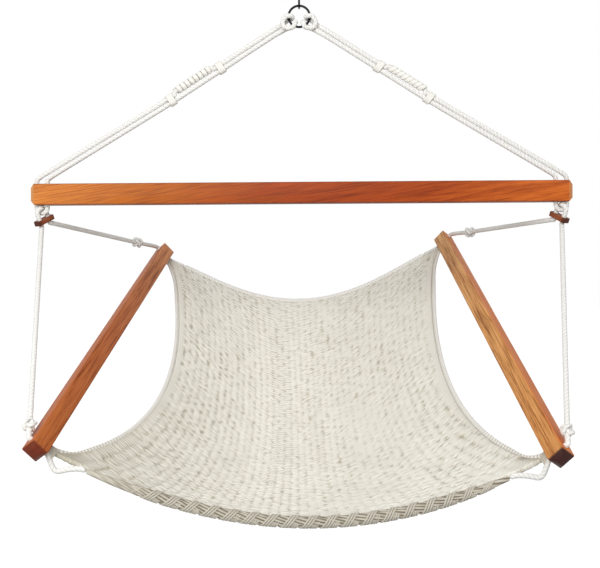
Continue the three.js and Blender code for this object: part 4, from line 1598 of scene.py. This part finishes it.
def oiled_wood(
    name, reach, tones, streak, end_reach, end_colour, end_share,
    both_ends=False, slope=0.0, depth=1.0, outer_face_light=None,
):
    """Wood whose tones are (place, hex) stops over twice its reach, from end to end.

    Its long edges lie at the depth and get painted shade, and its outer face can have a
    colour of its own, which is painted light on a face in shade.
    """
    material, tree, surface = new_material(name)
    grain = add(tree, "ShaderNodeAttribute", {"attribute_name": "grain"}).outputs["Vector"]
    split = add(tree, "ShaderNodeSeparateXYZ", Vector=grain)
    along = split.outputs["X"]
    patches = grain_noise(tree, grain, 160 * MM, 13 * MM, slope)
    streaks = grain_noise(tree, grain, 90 * MM, 3.2 * MM, slope)
    pores = grain_noise(tree, grain, 14 * MM, 1.2 * MM, slope, 2.0)
    share = add(tree, "ShaderNodeMapRange", Value=along, From_Min=-reach, From_Max=reach)
    drifted = add(tree, "ShaderNodeMath", multiply_add, _0=patches, _1=0.3, _2=share)
    drift = add(tree, "ShaderNodeMath", subtract, _0=drifted, _1=0.15)
    tone = add(tree, "ShaderNodeValToRGB", stops=tones, Fac=drift)
    figure = add(tree, "ShaderNodeMath", multiply_add, _0=patches, _1=0.7, _2=streaks)
    pored = add(tree, "ShaderNodeMath", multiply_add, _0=pores, _1=0.3, _2=figure)
    spread = add(tree, "ShaderNodeMapRange", Value=pored, From_Min=0.72, From_Max=1.28)
    figure_tones = ((0, streak), (0.5, "#e6dcd2"), (1, "#ffffff"))
    shade = add(tree, "ShaderNodeValToRGB", stops=figure_tones, Fac=spread)
    figured = add(
        tree, "ShaderNodeMix", {"data_type": "RGBA", "blend_type": "MULTIPLY"},
        _0=1.0, _6=tone, _7=shade,
    )
    height = add(tree, "ShaderNodeMath", absolute, _0=split.outputs["Z"])
    outward = add(
        tree, "ShaderNodeMath", absolute if both_ends else multiply, _0=along, _1=-1.0,
    )
    # Painted shade along the long edges at the depth.
    marks = [(height, depth - edge_reach, depth - edge_full_reach, 0.6, edge_shade)]
    # Painted light on the outer face, which is in shade.
    if outer_face_light:
        face = -bar_section / 2
        marks.append((split.outputs["Y"], face_softness + face, face, 0.7, outer_face_light))
    # The ends: a painted highlight on the beam's end chamfers; darker oiled end grain on the bars
    # and the sliders, with painted shade on the bars' front ends.
    end_start, end_full = end_reach - end_softness, end_reach + end_softness
    marks.append((outward, end_start, end_full, end_share, end_colour))
    colour = figured.outputs[2]
    for place, start, full, most, paint in marks:
        near = add(
            tree, "ShaderNodeMapRange",
            Value=place, From_Min=start, From_Max=full, To_Min=0.0, To_Max=most,
        )
        marked = add(
            tree, "ShaderNodeMix", {"data_type": "RGBA"}, _0=near, _6=colour, _7=linear(paint),
        )
        colour = marked.outputs[2]
    rough = add(
        tree, "ShaderNodeMapRange",
        Value=pores, From_Min=0.3, From_Max=0.7, To_Min=0.45, To_Max=0.62,
    )
    bump = add(tree, "ShaderNodeBump", Strength=0.35, Distance=0.25 * MM, Height=pored)
    connect(
        tree, surface, Base_Color=colour, Roughness=rough, Normal=bump, Specular_IOR_Level=0.2,
    )
    return material


# %% Place the beam
edge_easing = 1.6 * MM
end_band = 10 * MM
beam_slope = 0.16
beam_tones = (
    (0.0, "#e38f43"), (0.22, "#c26a1c"), (0.45, "#a84710"), (0.75, "#ad4a10"), (1.0, "#dd742a"),
)
beam_directions = (vec(1, 0, 0), vec(0, 1, 0), vec(0, 0, 1))
beam_mesh = eased_copy(
    "beam_timber", "top_beam", vec(0, 0, beam_z), beam_directions, edge_easing,
)
# The beam's ends are painted lighter, a painted highlight where the end chamfers catch the light.
beam_wood = oiled_wood(
    "oiled_beam_wood", beam_length / 2, beam_tones, "#b59c88",
    beam_length / 2 - end_band, "#e2a468", 0.6,
    both_ends=True, slope=beam_slope, depth=beam_height / 2,
)
place_piece("beam_timber", beam_mesh, beam_wood, "beam", "beam_wood", "top_beam")

# %% Place the bars and the sliders
bar_tones = {
    -1: ((0.0, "#bd6c34"), (0.5, "#b96a3a"), (1.0, "#e09560")),
    1: ((0.0, "#d79a5c"), (0.5, "#e6ac6c"), (1.0, "#f0bb80")),
}
# The colours of the streaks, the ends, which are oiled end grain with painted shade, and the outer
# face, which is painted light, and how strong the end's is.
bar_marks = {
    -1: ("#946a50", "#5c1c0c", "#b8683a", 0.9),
    1: ("#8c6444", "#32100b", "#d8702c", 1.0),
}
slider_tones = ((0.0, "#8a4a2c"), (0.5, "#9c5a38"), (1.0, "#84482c"))
slider_reach = 25 * MM
slider_end_reach = 22 * MM
slider_easing = 1 * MM

for word, side in chair_sides:
    near, far, axis, inner = bar_frame(side)
    bar_middle = (near + far) / 2
    bar_reach = np.linalg.norm(far - near) / 2
    streak, end_colour, outer_face_light, end_share = bar_marks[side]
    wood = oiled_wood(
        f"oiled_{word}_bar_wood", bar_reach, bar_tones[side], streak,
        bar_reach - end_band, end_colour, end_share, outer_face_light=outer_face_light,
    )
    directions = (axis, inner, np.cross(axis, inner))
    name, node = f"{word}_bar_timber", f"{word}_side_bar"
    mesh = eased_copy(name, node, bar_middle, directions, edge_easing)
    place_piece(name, mesh, wood, "seat", "bar_wood", node)
    centre, *directions = slider_frame(side)
    name, node = f"{word}_slider_block", f"{word}_slider"
    mesh = eased_copy(name, node, centre, directions, slider_easing)
    wood = oiled_wood(
        f"oiled_{word}_slider_wood", slider_reach, slider_tones, "#a5826c",
        slider_end_reach, "#3c1a10", 0.8, both_ends=True,
    )
    place_piece(name, mesh, wood, "seat", "slider_wood", node)

# %% [markdown]
#
# The bed is a sheet of cloth that is stretched between its four edges. Its flat size is
# the mean length of its rows and its columns, measured before the stitches were raised.

# %% [markdown]
# ## Floor and light
#
# The photograph has a plain white ground. The floor is a wide white sheet well below the
# seat, which shows pure white to the camera and still takes the chair's soft shadow. Two
# large lamps give plain studio light: the main one from the front and the left, a little
# above the beam, the other from the right, and the world fills in the rest. A small lamp
# would draw the beam's shadow across the bed, and the wide one blurs it away.

# %% Floor
floor_drop = 450 * MM
floor_half = 30000 * MM
floor_brightness = 0.85
floor_z = cad_low.z - floor_drop


def floor_mesh():
    work = bmesh.new()
    bmesh.ops.create_grid(work, x_segments=8, y_segments=8, size=floor_half)
    mesh = bpy.data.meshes.new("floor")
    work.to_mesh(mesh)
    work.free()
    return mesh


def seen_or_mirrored(tree):
    """1 for rays from the camera, and for what metal or glass shows of them."""
    path = add(tree, "ShaderNodeLightPath").outputs
    mirrored = add(
        tree, "ShaderNodeMath", maximum,
        _0=path["Is Glossy Ray"], _1=path["Is Transmission Ray"],
    )
    return add(tree, "ShaderNodeMath", maximum, _0=path["Is Camera Ray"], _1=mirrored)


floor_material, floor_tree, floor_surface = new_material("white_floor")
floor_glow = add(
    floor_tree, "ShaderNodeMath", multiply,
    _0=seen_or_mirrored(floor_tree), _1=floor_brightness,
)
connect(
    floor_tree, floor_surface,
    Base_Color=linear("#b4b4b4"), Roughness=0.9,
    Emission_Color=linear("#ffffff"), Emission_Strength=floor_glow,
)

floor = bpy.data.objects.new("floor", floor_mesh())
floor.data.materials.append(floor_material)
floor.location.z = floor_z
bpy.context.scene.collection.objects.link(floor)

# %% Lamps and world
chair_middle = Vector((0, 0, beam_z - 300 * MM))
fill_light = 0.36
# Place and width in metres, and power in watts.
lamps = {
    "main_lamp": ((-0.9, -2.9, 0.3), 2.6, 86),
    "side_lamp": ((2.4, -1.7, 0.9), 1.6, 20),
}


def soft_lamp(name, place, width, power):
    data = bpy.data.lights.new(name, "AREA")
    data.shape = "DISK"
    data.size = width
    data.energy = power
    lamp = bpy.data.objects.new(name, data)
    lamp.location = place
    lamp.rotation_euler = (chair_middle - Vector(place)).to_track_quat("-Z", "Y").to_euler()
    bpy.context.scene.collection.objects.link(lamp)


for name, (place, width, power) in lamps.items():
    soft_lamp(name, place, width, power)

world = bpy.data.worlds.new("white_room")
bpy.context.scene.world = world
world.use_nodes = True
world_tree = world.node_tree
world_glow = add(
    world_tree, "ShaderNodeMapRange",
    Value=seen_or_mirrored(world_tree), To_Min=fill_light, To_Max=1.0,
)
connect(
    world_tree, world_tree.nodes["Background"], Color=linear("#ffffff"), Strength=world_glow,
)
print("floor at", round(floor_z, 3), "m")
